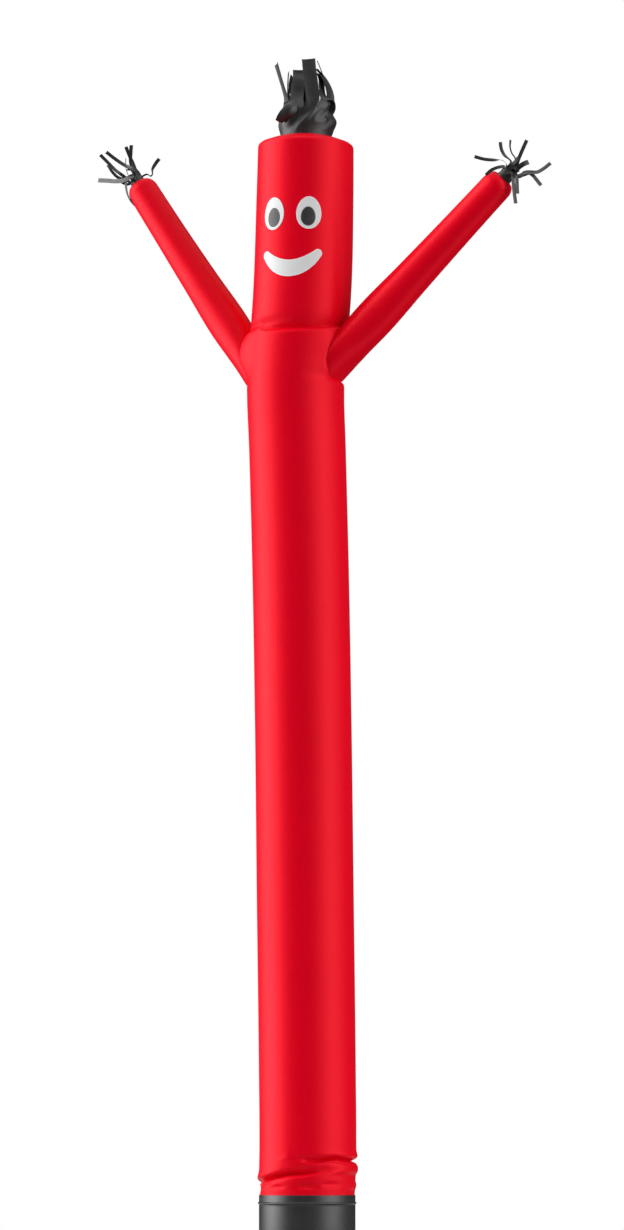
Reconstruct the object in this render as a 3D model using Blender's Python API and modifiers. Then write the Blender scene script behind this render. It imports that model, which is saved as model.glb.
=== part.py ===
"""Inflatable air dancer: a red cloth tube figure standing on its base collar.

Metres, +Z up. The face looks along -Y, the arms reach out along X, and the origin is the
middle of the whole figure's footprint, on the surface that it stands on. Left and right are
as seen from the front. A turn is an angle round the tube in degrees: 0 is the front, 90 is
the right, and it grows anticlockwise as seen from above. A climb is an angle above level.
"""

import math
from collections import namedtuple

import bmesh
import bpy
from mathutils import Quaternion, Vector

# ---------------------------------------------------------------- driving dimensions

COLLECTION = "inflatable_air_dancer"
GAP = 0.0003                # clearance between pieces that touch
ROOT_GAP = 0.0004           # the same where an arm meets the tube, GAP on its slopes
SEAM_GAP = 0.00055          # the cap's seam outside, which is GAP at its narrowest, inside

OUTLET_DIAMETER = 0.457     # the 18 inch blower outlet that the collar is made for
FOOT_X, FOOT_Y = -0.048, 0.001   # where the foot stands, so that the origin is the middle

SEGMENTS = 36               # facets round the tube, the head's cap and the collar
ARM_SEGMENTS = 18           # facets round an arm

CLOTH = 0.002               # thickness of the inflated cloth
PATCH_CLOTH = 0.001         # thickness of an eye or mouth patch
FRINGE_CLOTH = 0.0012       # thickness of the fringe cloth

COLLAR_HEIGHT = 0.305
COLLAR_WALL = 0.003
BEAD_HEIGHT = 0.267         # height of the middle of the collar's bead
BEAD_RADIUS = 0.0050

CORNER_RADIUS = 0.020       # rounding of the head's top edge
CORNER_TURN = 65.0          # degrees of the rounding below the cap's seam
CAP_RISE = 0.034            # rise of the cap from its seam to the vent
VENT_RADIUS = 0.1235        # the vent in the cap
HAND_VENT_RADIUS = 0.0390   # the vent at the end of each arm
ARM_LENGTH = 1.140

# ------------------------------------------------------------------------- the tables

Section = namedtuple("Section", "height lean radius")
BODY = (
    Section(height=0.278, lean=0.000, radius=0.2252),
    Section(height=0.303, lean=0.000, radius=0.2248),
    Section(height=0.330, lean=0.000, radius=0.2262),
    Section(height=0.400, lean=0.001, radius=0.2290),
    Section(height=0.520, lean=0.0030, radius=0.2296),
    Section(height=0.900, lean=0.0005, radius=0.2302),
    Section(height=1.700, lean=-0.010, radius=0.2312),
    Section(height=2.500, lean=-0.020, radius=0.2312),
    Section(height=3.300, lean=-0.035, radius=0.2318),
    Section(height=3.900, lean=-0.052, radius=0.2330),
    Section(height=4.160, lean=-0.0605, radius=0.2345),
    Section(height=4.600, lean=-0.0285, radius=0.2370),
    Section(height=5.090, lean=-0.0122, radius=0.2345),
    Section(height=5.335, lean=-0.0078, radius=0.2312),
)
HEAD_TOP = BODY[-1]

Band = namedtuple("Band", "bottom top steps")
BANDS = (
    Band(bottom=0.278, top=0.303, steps=1),
    Band(bottom=0.303, top=0.520, steps=13),
    Band(bottom=0.520, top=0.900, steps=1),
    Band(bottom=0.900, top=3.300, steps=2),
    Band(bottom=3.300, top=3.900, steps=1),
    Band(bottom=3.900, top=4.160, steps=1),
    Band(bottom=4.160, top=4.405, steps=4),
    Band(bottom=4.405, top=4.465, steps=4),
    Band(bottom=4.465, top=4.600, steps=1),
    Band(bottom=4.600, top=5.090, steps=1),
    Band(bottom=5.090, top=5.335, steps=1),
)

# A fold runs round the tube from one turn to another. Its depth is greatest between them.
Fold = namedtuple("Fold", "from_turn to_turn from_height mid_height to_height depth above below")
FOLDS = (
    # the shoulder crease, the soft fold above it on the left, and the one below the right arm
    Fold(-34, 96, 4.432, 4.428, 4.446, depth=0.022, above=0.060, below=0.013),
    Fold(-100, 0, 4.444, 4.462, 4.460, depth=0.007, above=0.045, below=0.020),
    Fold(28, 92, 4.198, 4.196, 4.192, depth=0.004, above=0.030, below=0.020),
    # the wrinkles over the collar
    Fold(6, 150, 0.452, 0.460, 0.444, depth=0.015, above=0.013, below=0.011),
    Fold(-125, 70, 0.290, 0.366, 0.408, depth=0.018, above=0.016, below=0.015),
    Fold(150, 250, 0.432, 0.396, 0.330, depth=0.012, above=0.018, below=0.013),
)
# A roll is a fold that stands out: the slack cloth between two wrinkles.
ROLLS = (
    Fold(40, 170, 0.480, 0.484, 0.478, depth=0.007, above=0.022, below=0.014),
    Fold(46, 172, 0.412, 0.418, 0.404, depth=0.015, above=0.016, below=0.024),
    Fold(76, 148, 0.342, 0.346, 0.342, depth=0.006, above=0.016, below=0.020),
    Fold(-140, 10, 0.370, 0.386, 0.414, depth=0.008, above=0.022, below=0.014),
)

Arm = namedtuple("Arm", "side turn height climb sweep swell")
ARMS = (
    Arm(side="left", turn=-90, height=4.316, climb=54.45, sweep=-10.0, swell=0.052),
    Arm(side="right", turn=90, height=4.327, climb=43.8, sweep=0.0, swell=0.014),
)
SWELL_WIDTH = 0.150         # half-width of the cloth that an arm draws out with it
SWELL_HEIGHT = 0.150
SWELL_LIFT = 0.018          # the swelling's middle is this far above the arm's

SleeveRow = namedtuple("SleeveRow", "along half_width half_depth")
ARM_ROWS = (
    SleeveRow(along=-0.130, half_width=0.130, half_depth=0.086),
    SleeveRow(along=0.000, half_width=0.124, half_depth=0.086),
    SleeveRow(along=0.085, half_width=0.108, half_depth=0.090),
    SleeveRow(along=0.210, half_width=0.0955, half_depth=0.0965),
    SleeveRow(along=0.500, half_width=0.0875, half_depth=0.0875),
    SleeveRow(along=0.850, half_width=0.0792, half_depth=0.0792),
    SleeveRow(along=1.075, half_width=0.0755, half_depth=0.0755),
    SleeveRow(along=1.124, half_width=0.0610, half_depth=0.0610),
    SleeveRow(along=ARM_LENGTH, half_width=HAND_VENT_RADIUS, half_depth=HAND_VENT_RADIUS),
)
BORE_ROWS = ARM_ROWS[:4]    # the part of an arm that passes through the tube's cloth

EGG = 0.06                  # how much wider the eyes are below their middle than above it
Oval = namedtuple("Oval", "name turn height half_width half_height tilt layer colour")
WHITE = (0.80, 0.80, 0.80)
PUPIL = (0.030, 0.030, 0.032)
OVALS = (
    Oval("eye_white_left", -16.9, 4.983, 0.0580, 0.0785, tilt=-1.0, layer=0, colour=WHITE),
    Oval("eye_white_right", 27.2, 4.979, 0.0605, 0.0785, tilt=0.5, layer=0, colour=WHITE),
    Oval("pupil_left", -16.2, 4.964, 0.0345, 0.0465, tilt=-1.0, layer=1, colour=PUPIL),
    Oval("pupil_right", 26.5, 4.962, 0.0350, 0.0465, tilt=0.5, layer=1, colour=PUPIL),
)

MOUTH_TURN = 6.5
MOUTH_HEIGHT = 4.7125       # middle of the lips at the middle of the smile
MOUTH_REACH = 0.1335        # from the middle to the centre of each rounded corner
MOUTH_RISE = 0.070          # how far the corners stand above the middle
MOUTH_HALF_DEPTH = 0.0400   # half of its depth at the middle
MOUTH_CORNER_RADIUS = 0.0195

# One row for each streamer, in order round its sleeve. It sets off in one heading (turn and
# climb) and ends in another.
Streamer = namedtuple("Streamer", "length turn climb end_turn end_climb twist")
HAIR = (
    Streamer(0.245, 22, 86, 112, 83, twist=-37),
    Streamer(0.170, 95, 84, 112, 86, twist=55),
    Streamer(0.135, 100, 84, 100, -88, twist=20),
    Streamer(0.215, 112, 72, -68, 44, twist=-20),
    Streamer(0.245, 130, 86, -68, 68, twist=70),
    Streamer(0.180, 170, 80, 180, 74, twist=-20),
    Streamer(0.170, 205, 82, 215, 76, twist=15),
    Streamer(0.190, 230, 86, 112, 82, twist=60),
    Streamer(0.190, 255, 86, 255, 89, twist=20),
    Streamer(0.230, -68, 82, -68, 76, twist=50),
    Streamer(0.170, -20, 45, -30, -85, twist=25),
    Streamer(0.195, 60, 84, 112, 82, twist=60),
)
HAND_LEFT = (
    Streamer(0.075, 0, 50, 10, 10, twist=20),
    Streamer(0.090, -60, 56, -68, 82, twist=30),
    Streamer(0.155, 100, 5, 112, 62, twist=90),
    Streamer(0.160, -68, 60, 112, 88, twist=-30),
    Streamer(0.165, -75, 46, -75, 76, twist=20),
    Streamer(0.120, -110, 46, -120, 50, twist=-15),
    Streamer(0.220, -90, 50, -74, 36, twist=15),
    Streamer(0.220, -78, 36, -68, 42, twist=20),
    Streamer(0.140, -72, 0, -66, 52, twist=35),
    Streamer(0.165, -64, 10, -62, 0, twist=0),
    Streamer(0.125, -64, -50, 40, -82, twist=30),
    Streamer(0.085, -40, -10, -50, -30, twist=10),
)
HAND_RIGHT = (
    Streamer(0.180, 150, 60, 113, 66, twist=0),
    Streamer(0.155, -130, 70, 112, 84, twist=60),
    Streamer(0.150, -78, 46, -68, 88, twist=60),
    Streamer(0.165, -72, 26, -70, 16, twist=40),
    Streamer(0.115, -55, 24, -66, -44, twist=0),
    Streamer(0.080, -20, 10, 0, -50, twist=20),
    Streamer(0.145, 80, -26, 60, -89, twist=0),
    Streamer(0.165, 75, -62, 60, -89, twist=20),
    Streamer(0.135, 100, 8, 112, -46, twist=20),
    Streamer(0.205, 112, -20, 114, 44, twist=30),
    Streamer(0.070, 120, 50, 130, 46, twist=0),
    Streamer(0.120, 165, 40, 170, 10, twist=0),
)

PleatRow = namedtuple("PleatRow", "along radius pleat")
HAIR_SLEEVE = (
    PleatRow(along=-0.018, radius=0.1222, pleat=0.0),
    PleatRow(along=0.010, radius=0.1222, pleat=0.0),
    PleatRow(along=0.075, radius=0.1290, pleat=0.06),
    PleatRow(along=0.130, radius=0.1080, pleat=0.20),
)
HAND_SLEEVE = (
    PleatRow(along=-0.012, radius=0.0369, pleat=0.0),
    PleatRow(along=0.008, radius=0.0369, pleat=0.0),
    PleatRow(along=0.038, radius=0.0300, pleat=0.22),
)
HAIR_STEPS = 4              # lengths that each streamer is made of
HAND_STEPS = 3
STREAMER_WIDTH = 0.88       # width of a streamer as a share of its place on the sleeve

RED = (0.72, 0.004, 0.018)
BLACK = (0.020, 0.020, 0.021)
COLLAR_BLACK = (0.030, 0.030, 0.032)


# ------------------------------------------------------------------- places on the tube

def heading(turn, climb=0.0):
    """Unit vector at a turn round the tube and a climb above level."""
    turn, climb = math.radians(turn), math.radians(climb)
    level = math.cos(climb)
    return Vector((math.sin(turn) * level, -math.cos(turn) * level, math.sin(climb)))


def section_at(height):
    """Lean and radius of the tube at a height, between the table's rows."""
    row = max(i for i in range(len(BODY) - 1) if i == 0 or height >= BODY[i].height)
    low, high = BODY[row], BODY[row + 1]
    share = (height - low.height) / (high.height - low.height)
    lean = low.lean + (high.lean - low.lean) * share
    return lean, low.radius + (high.radius - low.radius) * share


def turn_between(turn, start):
    """How far a turn lies past another, from 0 to 360 degrees."""
    return (turn - start) % 360.0


def fold_depth(fold, turn, height):
    """Depth of one fold at a place on the tube, 0 away from it."""
    share = turn_between(turn, fold.from_turn) / (fold.to_turn - fold.from_turn)
    if share >= 1.0:
        return 0.0
    middle = (
        fold.from_height * (1 - share) * (1 - 2 * share)
        + fold.mid_height * 4 * share * (1 - share)
        + fold.to_height * share * (2 * share - 1)
    )
    across = height - middle
    across /= fold.above if across > 0 else fold.below
    return fold.depth * math.sin(math.pi * share) ** 0.7 * math.exp(-across * across)


def swell_of(arm, turn, height, radius):
    """How far an arm draws the tube's cloth out, at a place on the tube."""
    apart = (turn - arm.turn + 180.0) % 360.0 - 180.0
    across = radius * math.radians(apart) / SWELL_WIDTH
    up = (height - arm.height - SWELL_LIFT) / SWELL_HEIGHT
    if abs(up) >= 1.0:
        return 0.0
    return arm.swell * math.exp(-(across ** 4)) * math.cos(math.pi / 2 * up) ** 1.5


def tube_point(turn, height, offset=0.0):
    """Point on the tube's outside, or offset outward from it."""
    lean, radius = section_at(height)
    for fold in FOLDS:
        offset -= fold_depth(fold, turn, height)
    for roll in ROLLS:
        offset += fold_depth(roll, turn, height)
    for arm in ARMS:
        offset += swell_of(arm, turn, height, radius)
    return Vector((FOOT_X + lean, FOOT_Y, height)) + heading(turn) * (radius + offset)


def tube_rings(offset=0.0):
    """Rings of points up the tube, from the hem in the collar to the start of the rounding."""
    heights = [BANDS[0].bottom]
    for band in BANDS:
        rise = (band.top - band.bottom) / band.steps
        heights += [band.bottom + rise * (step + 1) for step in range(band.steps)]
    turns = [360.0 * i / SEGMENTS for i in range(SEGMENTS)]
    return [[tube_point(turn, height, offset) for turn in turns] for height in heights]


def head_ring(radius, height):
    """Ring of points round the head's own axis."""
    centre = Vector((FOOT_X + HEAD_TOP.lean, FOOT_Y, height))
    return [centre + heading(360.0 * i / SEGMENTS) * radius for i in range(SEGMENTS)]


def corner_ring(angle):
    """Ring on the rounding of the head's top edge, at an angle from its side."""
    angle = math.radians(angle)
    radius = HEAD_TOP.radius - CORNER_RADIUS * (1 - math.cos(angle))
    return head_ring(radius, HEAD_TOP.height + CORNER_RADIUS * math.sin(angle))


def cap_height(radius):
    """Height of the cap's cloth at a distance from the head's axis."""
    angle = math.radians(CORNER_TURN)
    seam_radius = HEAD_TOP.radius - CORNER_RADIUS * (1 - math.cos(angle))
    seam_height = HEAD_TOP.height + CORNER_RADIUS * math.sin(angle)
    inward = (seam_radius - radius) / (seam_radius - VENT_RADIUS)
    return seam_height + CAP_RISE * (1.42 * inward - 0.42 * inward ** 2)


# -------------------------------------------------------------------------- mesh helpers

def material(name, colour, roughness):
    """Plain cloth or plastic finish."""
    made = bpy.data.materials.new(name)
    made.use_nodes = True
    shader = made.node_tree.nodes["Principled BSDF"]
    shader.inputs["Base Color"].default_value = (*colour, 1.0)
    shader.inputs["Roughness"].default_value = roughness
    shader.inputs["Metallic"].default_value = 0.0
    made.diffuse_color = (*colour, 1.0)
    return made


def add_object(name, build, collection, finish=None):
    """Object whose mesh is made by a bmesh function."""
    mesh = bpy.data.meshes.new(name)
    shape = bmesh.new()
    build(shape)
    shape.to_mesh(mesh)
    shape.free()
    mesh.shade_smooth()
    mesh.set_sharp_from_angle(angle=math.radians(40.0))
    obj = bpy.data.objects.new(name, mesh)
    collection.objects.link(obj)
    if finish:
        mesh.materials.append(finish)
    return obj


def loft(shape, rings, closed_ends=False):
    """Skin over a row of rings that turn anticlockwise about the way they advance."""
    rows = [[shape.verts.new(point) for point in ring] for ring in rings]
    for low, high in zip(rows, rows[1:]):
        for i in range(len(low)):
            j = (i + 1) % len(low)
            shape.faces.new((low[i], low[j], high[j], high[i]))
    bmesh.ops.triangulate(shape, faces=shape.faces, quad_method="FIXED")
    if closed_ends:
        shape.faces.new(list(reversed(rows[0])))
        shape.faces.new(rows[-1])
    return rows


def thicken(obj, thickness, outward=False):
    """Give an open surface its thickness of cloth."""
    cloth = obj.modifiers.new("cloth", "SOLIDIFY")
    cloth.thickness = thickness
    cloth.offset = 1.0 if outward else -1.0


def cut(obj, cutter):
    """Cut one closed shape out of an object."""
    boolean = obj.modifiers.new("cut_by_" + cutter.name, "BOOLEAN")
    boolean.operation = "DIFFERENCE"
    boolean.solver = "EXACT"
    boolean.object = cutter


def add_cutter(name, rings, cutters):
    """Closed shape that only cuts others."""
    cutter = add_object(name, lambda shape: loft(shape, rings, closed_ends=True), cutters)
    cutter.hide_render = True
    cutter.display_type = "WIRE"
    return cutter


# ------------------------------------------------------------------------------ the arms

class ArmFrame:
    """An arm's own directions: along it, level across it, and up across it."""

    def __init__(self, arm):
        self.root = tube_point(arm.turn, arm.height) - heading(arm.turn) * arm.swell
        self.along = heading(arm.turn + arm.sweep, arm.climb)
        self.across = Vector((0.0, 0.0, 1.0)).cross(self.along).normalized()
        self.over = self.along.cross(self.across)

    def ring(self, along, half_width, half_depth, count):
        """Oval ring of points square to the arm."""
        centre = self.root + self.along * along
        angles = [math.tau * i / count for i in range(count)]
        return [
            centre + self.across * half_width * math.cos(a) + self.over * half_depth * math.sin(a)
            for a in angles
        ]


def arm_rings(arm, rows, inset=0.0):
    """Rings along an arm through its table of rows."""
    frame = ArmFrame(arm)
    return [
        frame.ring(row.along, row.half_width - inset, row.half_depth - inset, ARM_SEGMENTS)
        for row in rows
    ]


def build_arms(parts, red, tube_envelope):
    """Both arms, each trimmed where it meets the tube's cloth."""
    for arm in ARMS:
        rings = arm_rings(arm, ARM_ROWS)
        obj = add_object("arm_" + arm.side, lambda shape: loft(shape, rings), parts, red)
        thicken(obj, CLOTH)
        cut(obj, tube_envelope)


# ------------------------------------------------------------------- the tube and the cap

def build_tube(parts, cutters, red):
    """The tube, from its hem to the cap's seam, with an armhole under each arm."""
    rings = tube_rings()
    seam_turn = CORNER_TURN - math.degrees(SEAM_GAP / 2 / CORNER_RADIUS)
    rings += [corner_ring(seam_turn * share) for share in (0.4, 0.8, 1.0)]
    obj = add_object("body_tube", lambda shape: loft(shape, rings), parts, red)
    thicken(obj, CLOTH)
    armhole_inset = 2 * CLOTH
    for arm in ARMS:
        bore = arm_rings(arm, BORE_ROWS, armhole_inset)
        cut(obj, add_cutter("armhole_" + arm.side, bore, cutters))


def build_cap(parts, red):
    """The domed cap, open at its vent."""
    seam_turn = CORNER_TURN + math.degrees(SEAM_GAP / 2 / CORNER_RADIUS)
    seam = corner_ring(seam_turn)
    seam_radius = HEAD_TOP.radius - CORNER_RADIUS * (1 - math.cos(math.radians(seam_turn)))
    rings = [seam]
    for share in (0.06, 0.50, 1.0):
        radius = seam_radius + (VENT_RADIUS - seam_radius) * share
        rings.append(head_ring(radius, cap_height(radius)))
    obj = add_object("head_cap", lambda shape: loft(shape, rings), parts, red)
    thicken(obj, CLOTH)


# --------------------------------------------------------------------------- the fringes

def sleeve_point(centre, along, across, over, row, place, count):
    """Point on a pleated sleeve, at one of its places round."""
    angle = math.tau * (place - 0.5) / count
    radius = row.radius * (1 + row.pleat * (-1) ** place)
    side = across * math.cos(angle) + over * math.sin(angle)
    return centre + along * row.along + side * radius


def grow_streamer(shape, left, right, streamer, steps):
    """Carry a streamer on from its edge of the sleeve, turning steadily to its last heading."""
    way = heading(streamer.turn, streamer.climb)
    last_way = heading(streamer.end_turn, streamer.end_climb)
    middle = (left.co + right.co) / 2
    width = (right.co - left.co) * STREAMER_WIDTH
    size = width.length
    edge = (left, right)
    for step in range(1, steps + 1):
        new_way = way.lerp(last_way, step / steps).normalized()
        middle = middle + new_way * (streamer.length / steps)
        width = width - new_way * width.dot(new_way)
        width.rotate(Quaternion(new_way, math.radians(streamer.twist / steps)))
        width = width.normalized() * size
        new_edge = (shape.verts.new(middle - width / 2), shape.verts.new(middle + width / 2))
        shape.faces.new((edge[0], edge[1], new_edge[1], new_edge[0]))
        edge = new_edge


def build_fringe(name, parts, black, frame, sleeve, streamers, steps):
    """One comb of cloth: a pleated sleeve whose upper edge is cut into streamers."""
    centre, along, across, over = frame
    count = len(streamers)

    def build(shape):
        rings = [
            [sleeve_point(centre, along, across, over, row, i, count) for i in range(count)]
            for row in sleeve
        ]
        top = loft(shape, rings)[-1]
        for i, streamer in enumerate(streamers):
            grow_streamer(shape, top[i], top[(i + 1) % count], streamer, steps)

    thicken(add_object(name, build, parts, black), FRINGE_CLOTH)


def build_fringes(parts, black):
    """The hair in the head's vent and the fringe in each hand's vent."""
    crown = Vector((FOOT_X + HEAD_TOP.lean, FOOT_Y, cap_height(VENT_RADIUS)))
    front = heading(22.0)
    hair_frame = (crown, Vector((0.0, 0.0, 1.0)), front, Vector((-front.y, front.x, 0.0)))
    build_fringe("hair_fringe", parts, black, hair_frame, HAIR_SLEEVE, HAIR, HAIR_STEPS)
    for arm, streamers in zip(ARMS, (HAND_LEFT, HAND_RIGHT)):
        frame = ArmFrame(arm)
        end = frame.root + frame.along * ARM_LENGTH
        hand_frame = (end, frame.along, frame.across, frame.over)
        name = "hand_fringe_" + arm.side
        build_fringe(name, parts, black, hand_frame, HAND_SLEEVE, streamers, HAND_STEPS)


# --------------------------------------------------------------------------- the patches

Station = namedtuple("Station", "along up slope half_width")


def oval_stations(oval, count):
    """Cross-lines of an oval patch, from its bottom to its top."""
    stations = []
    tilt = math.radians(oval.tilt)
    for i in range(count + 1):
        angle = math.pi * (i / count - 0.5)
        up = oval.half_height * math.sin(angle)
        along = -up * math.sin(tilt)
        half_width = oval.half_width * math.cos(angle) * (1 - EGG * math.sin(angle))
        stations.append(Station(along, up * math.cos(tilt), math.pi / 2 + tilt, half_width))
    return stations


def mouth_stations(count=12, corner_count=2):
    """Cross-lines of the smile, from its left corner to its right one."""
    stations = []
    for i in range(-corner_count, count + corner_count + 1):
        share = min(max(2.0 * i / count - 1.0, -1.0), 1.0)
        slope = math.atan2(2 * MOUTH_RISE * share, MOUTH_REACH)
        narrowing = MOUTH_HALF_DEPTH - MOUTH_CORNER_RADIUS
        half_width = MOUTH_HALF_DEPTH - narrowing * share ** 2
        past = max(-i, i - count, 0) / corner_count
        reach = MOUTH_CORNER_RADIUS * math.sin(math.pi / 2 * past) * (1 if share > 0 else -1)
        stations.append(Station(
            MOUTH_REACH * share + reach * math.cos(slope),
            MOUTH_RISE * share ** 2 + reach * math.sin(slope),
            slope,
            half_width * math.cos(math.pi / 2 * past),
        ))
    return stations


def build_patch(name, parts, finish, turn, height, stations, across, layer):
    """Patch of cloth laid on the head, a row of points across it at each station."""
    radius = section_at(height)[1]
    lift = 3 * GAP + layer * (PATCH_CLOTH + 2 * GAP)

    def build(shape):
        rows = []
        for station in stations:
            row = []
            for i in range(across + 1):
                side = station.half_width * (2.0 * i / across - 1.0)
                along = station.along - side * math.sin(station.slope)
                up = station.up + side * math.cos(station.slope)
                place = turn + math.degrees(along / radius)
                row.append(shape.verts.new(tube_point(place, height + up, lift)))
            rows.append(row)
        for low, high in zip(rows, rows[1:]):
            for i in range(across):
                shape.faces.new((low[i], high[i], high[i + 1], low[i + 1]))
        bmesh.ops.remove_doubles(shape, verts=shape.verts, dist=1e-6)
        bmesh.ops.recalc_face_normals(shape, faces=shape.faces)
        middle = sum((face.normal for face in shape.faces), Vector())
        if middle.dot(heading(turn)) < 0:
            bmesh.ops.reverse_faces(shape, faces=shape.faces)

    thicken(add_object(name, build, parts, finish), PATCH_CLOTH, outward=True)


def build_face(parts):
    """Eyes and mouth: ovals in two layers, and a crescent."""
    white = material("white_patch", WHITE, 0.5)
    dark = material("dark_patch", PUPIL, 0.5)
    for oval in OVALS:
        finish = white if oval.colour == WHITE else dark
        stations = oval_stations(oval, count=8 - 2 * oval.layer)
        build_patch(oval.name, parts, finish, oval.turn, oval.height, stations, 4, oval.layer)
    build_patch("mouth", parts, white, MOUTH_TURN, MOUTH_HEIGHT, mouth_stations(), 3, 0)


# ---------------------------------------------------------------------------- the collar

def build_collar(parts):
    """The collar: a turned wall with a rolled bead, open at both ends."""
    outer = OUTLET_DIAMETER / 2
    inner = outer - COLLAR_WALL
    rim = 0.001
    profile = [(inner + rim, COLLAR_HEIGHT), (outer - rim, COLLAR_HEIGHT),
               (outer, COLLAR_HEIGHT - rim)]
    for angle in (90, 45, 0, -45, -90):
        angle = math.radians(angle)
        profile.append((outer + BEAD_RADIUS * math.cos(angle),
                        BEAD_HEIGHT + BEAD_RADIUS * math.sin(angle)))
    profile += [(outer, 0.0), (inner, 0.0), (inner, COLLAR_HEIGHT - rim)]

    def build(shape):
        points = [shape.verts.new((radius, 0.0, height)) for radius, height in profile]
        for i, point in enumerate(points):
            shape.edges.new((point, points[(i + 1) % len(points)]))

    finish = material("collar_black", COLLAR_BLACK, 0.45)
    obj = add_object("base_collar", build, parts, finish)
    obj.location = (FOOT_X, FOOT_Y, 0.0)
    screw = obj.modifiers.new("turned", "SCREW")
    screw.steps = SEGMENTS
    screw.render_steps = SEGMENTS
    screw.use_merge_vertices = True
    screw.merge_threshold = 0.00005


def new_collection(name):
    """Collection in the scene."""
    made = bpy.data.collections.new(name)
    bpy.context.scene.collection.children.link(made)
    return made


def main():
    """Clear the scene and build every piece."""
    for obj in list(bpy.data.objects):
        bpy.data.objects.remove(obj, do_unlink=True)
    parts = new_collection(COLLECTION)
    cutters = new_collection("cutters")
    red = material("red_cloth", RED, 0.42)
    black = material("black_cloth", BLACK, 0.40)
    build_collar(parts)
    build_tube(parts, cutters, red)
    build_cap(parts, red)
    build_arms(parts, red, add_cutter("tube_envelope", tube_rings(ROOT_GAP), cutters))
    build_fringes(parts, black)
    build_face(parts)


main()
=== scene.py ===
"""Inflatable air dancer: the finished cloth, fringes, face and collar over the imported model.

Metres, +Z up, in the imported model's own frame. A turn is an angle round the tube in degrees:
0 is the front, 90 is the right, and it grows anticlockwise as seen from above. A climb is an
angle above level. Left and right are as seen from the front.
"""

import logging
import math
from collections.abc import Sequence
from dataclasses import dataclass
from enum import Enum

import bpy
import numpy as np
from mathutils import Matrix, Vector, noise

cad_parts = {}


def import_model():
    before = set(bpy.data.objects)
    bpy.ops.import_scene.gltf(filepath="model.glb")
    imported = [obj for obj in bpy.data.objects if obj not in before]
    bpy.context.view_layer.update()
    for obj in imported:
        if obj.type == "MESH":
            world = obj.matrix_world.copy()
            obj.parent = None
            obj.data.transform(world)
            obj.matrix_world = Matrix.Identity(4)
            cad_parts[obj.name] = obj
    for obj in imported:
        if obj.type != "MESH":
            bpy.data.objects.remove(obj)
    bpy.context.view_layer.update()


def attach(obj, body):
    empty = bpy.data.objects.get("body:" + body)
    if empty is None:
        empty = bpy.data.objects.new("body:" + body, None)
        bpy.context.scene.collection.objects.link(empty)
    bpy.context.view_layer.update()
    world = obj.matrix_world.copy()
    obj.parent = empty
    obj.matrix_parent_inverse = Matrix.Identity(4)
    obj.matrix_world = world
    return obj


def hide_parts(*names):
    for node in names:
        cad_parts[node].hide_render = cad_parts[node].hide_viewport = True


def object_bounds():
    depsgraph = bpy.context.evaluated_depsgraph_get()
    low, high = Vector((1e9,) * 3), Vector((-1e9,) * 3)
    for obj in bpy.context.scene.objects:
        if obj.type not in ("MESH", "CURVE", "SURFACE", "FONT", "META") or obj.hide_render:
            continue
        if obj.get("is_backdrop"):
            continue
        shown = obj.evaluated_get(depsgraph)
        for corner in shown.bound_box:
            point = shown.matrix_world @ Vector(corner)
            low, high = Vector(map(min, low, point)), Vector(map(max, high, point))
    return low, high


LOG = logging.getLogger("air_dancer")
BODY = "root"                    # the one rigid body that every piece rides on
VIEW_TURN = 22.0                 # the side that the figure is looked at from
MM = 0.001
WEAVE_HEIGHT = 0.006             # of a plain weave's threads, in millimetres
CLOUD_SPAN = (0.3, 0.7)          # where most of a soft noise lies
SMOOTH_ANGLE = math.radians(50.0)    # edges sharper than this stay sharp
SLANT = 0.707                    # share of each way in a fold that runs slantwise
WELD = 1e-6                      # points closer than this are one


# ------------------------------------------------------------------------------- measures

def heading(turn: float | np.ndarray, climb: float | np.ndarray = 0.0) -> np.ndarray:
    """Unit vectors at turns round the tube and climbs above level.

    Args:
        turn: Angle or angles round the tube, in degrees.
        climb: Angle or angles above level, in degrees.

    Returns:
        An array whose last axis is x, y, z.
    """
    turn, climb = np.radians(turn), np.radians(climb)
    level = np.cos(climb)
    parts = np.broadcast_arrays(np.sin(turn) * level, -np.cos(turn) * level, np.sin(climb))
    return np.stack(parts, -1)


def unit(vectors: np.ndarray) -> np.ndarray:
    """Vectors brought to length one."""
    return vectors / np.maximum(np.linalg.norm(vectors, axis=-1, keepdims=True), 1e-12)


def run_along(points: np.ndarray) -> np.ndarray:
    """Distance of each point along the line through them."""
    legs = np.linalg.norm(np.diff(points, axis=0), axis=1)
    return np.concatenate([[0.0], np.cumsum(legs)])


def through(
    places: Sequence[float] | np.ndarray, values: Sequence[float] | np.ndarray, at: np.ndarray
) -> np.ndarray:
    """Smooth curve through values at places.

    Args:
        places: Rising places along the curve.
        values: The value at each place.
        at: Where the curve is wanted.

    Returns:
        The curve's values, held level past both ends.
    """
    places, values = np.asarray(places, float), np.asarray(values, float)
    slopes = np.gradient(values, places)
    low = np.clip(np.searchsorted(places, at, side="right") - 1, 0, len(places) - 2)
    step = places[low + 1] - places[low]
    share = np.clip((at - places[low]) / step, 0.0, 1.0)
    rest = 1.0 - share
    return (
        rest * rest * (1 + 2 * share) * values[low]
        + share * share * (3 - 2 * share) * values[low + 1]
        + share * rest * step * (rest * slopes[low] - share * slopes[low + 1])
    )


def eased(value: np.ndarray | float) -> np.ndarray | float:
    """Smooth step from 0 at 0 to 1 at 1."""
    value = np.clip(value, 0.0, 1.0)
    return value * value * (3.0 - 2.0 * value)


def hump(value: np.ndarray, width: float) -> np.ndarray:
    """Smooth hump, 1 where the value is 0 and dying away on both sides over the width."""
    return np.exp(-((value / width) ** 2))


def pairs(run: np.ndarray, rise: np.ndarray) -> np.ndarray:
    """Two lengths at each place of a grid, as a UV map holds them."""
    return np.stack(np.broadcast_arrays(run, rise), -1)


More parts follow.
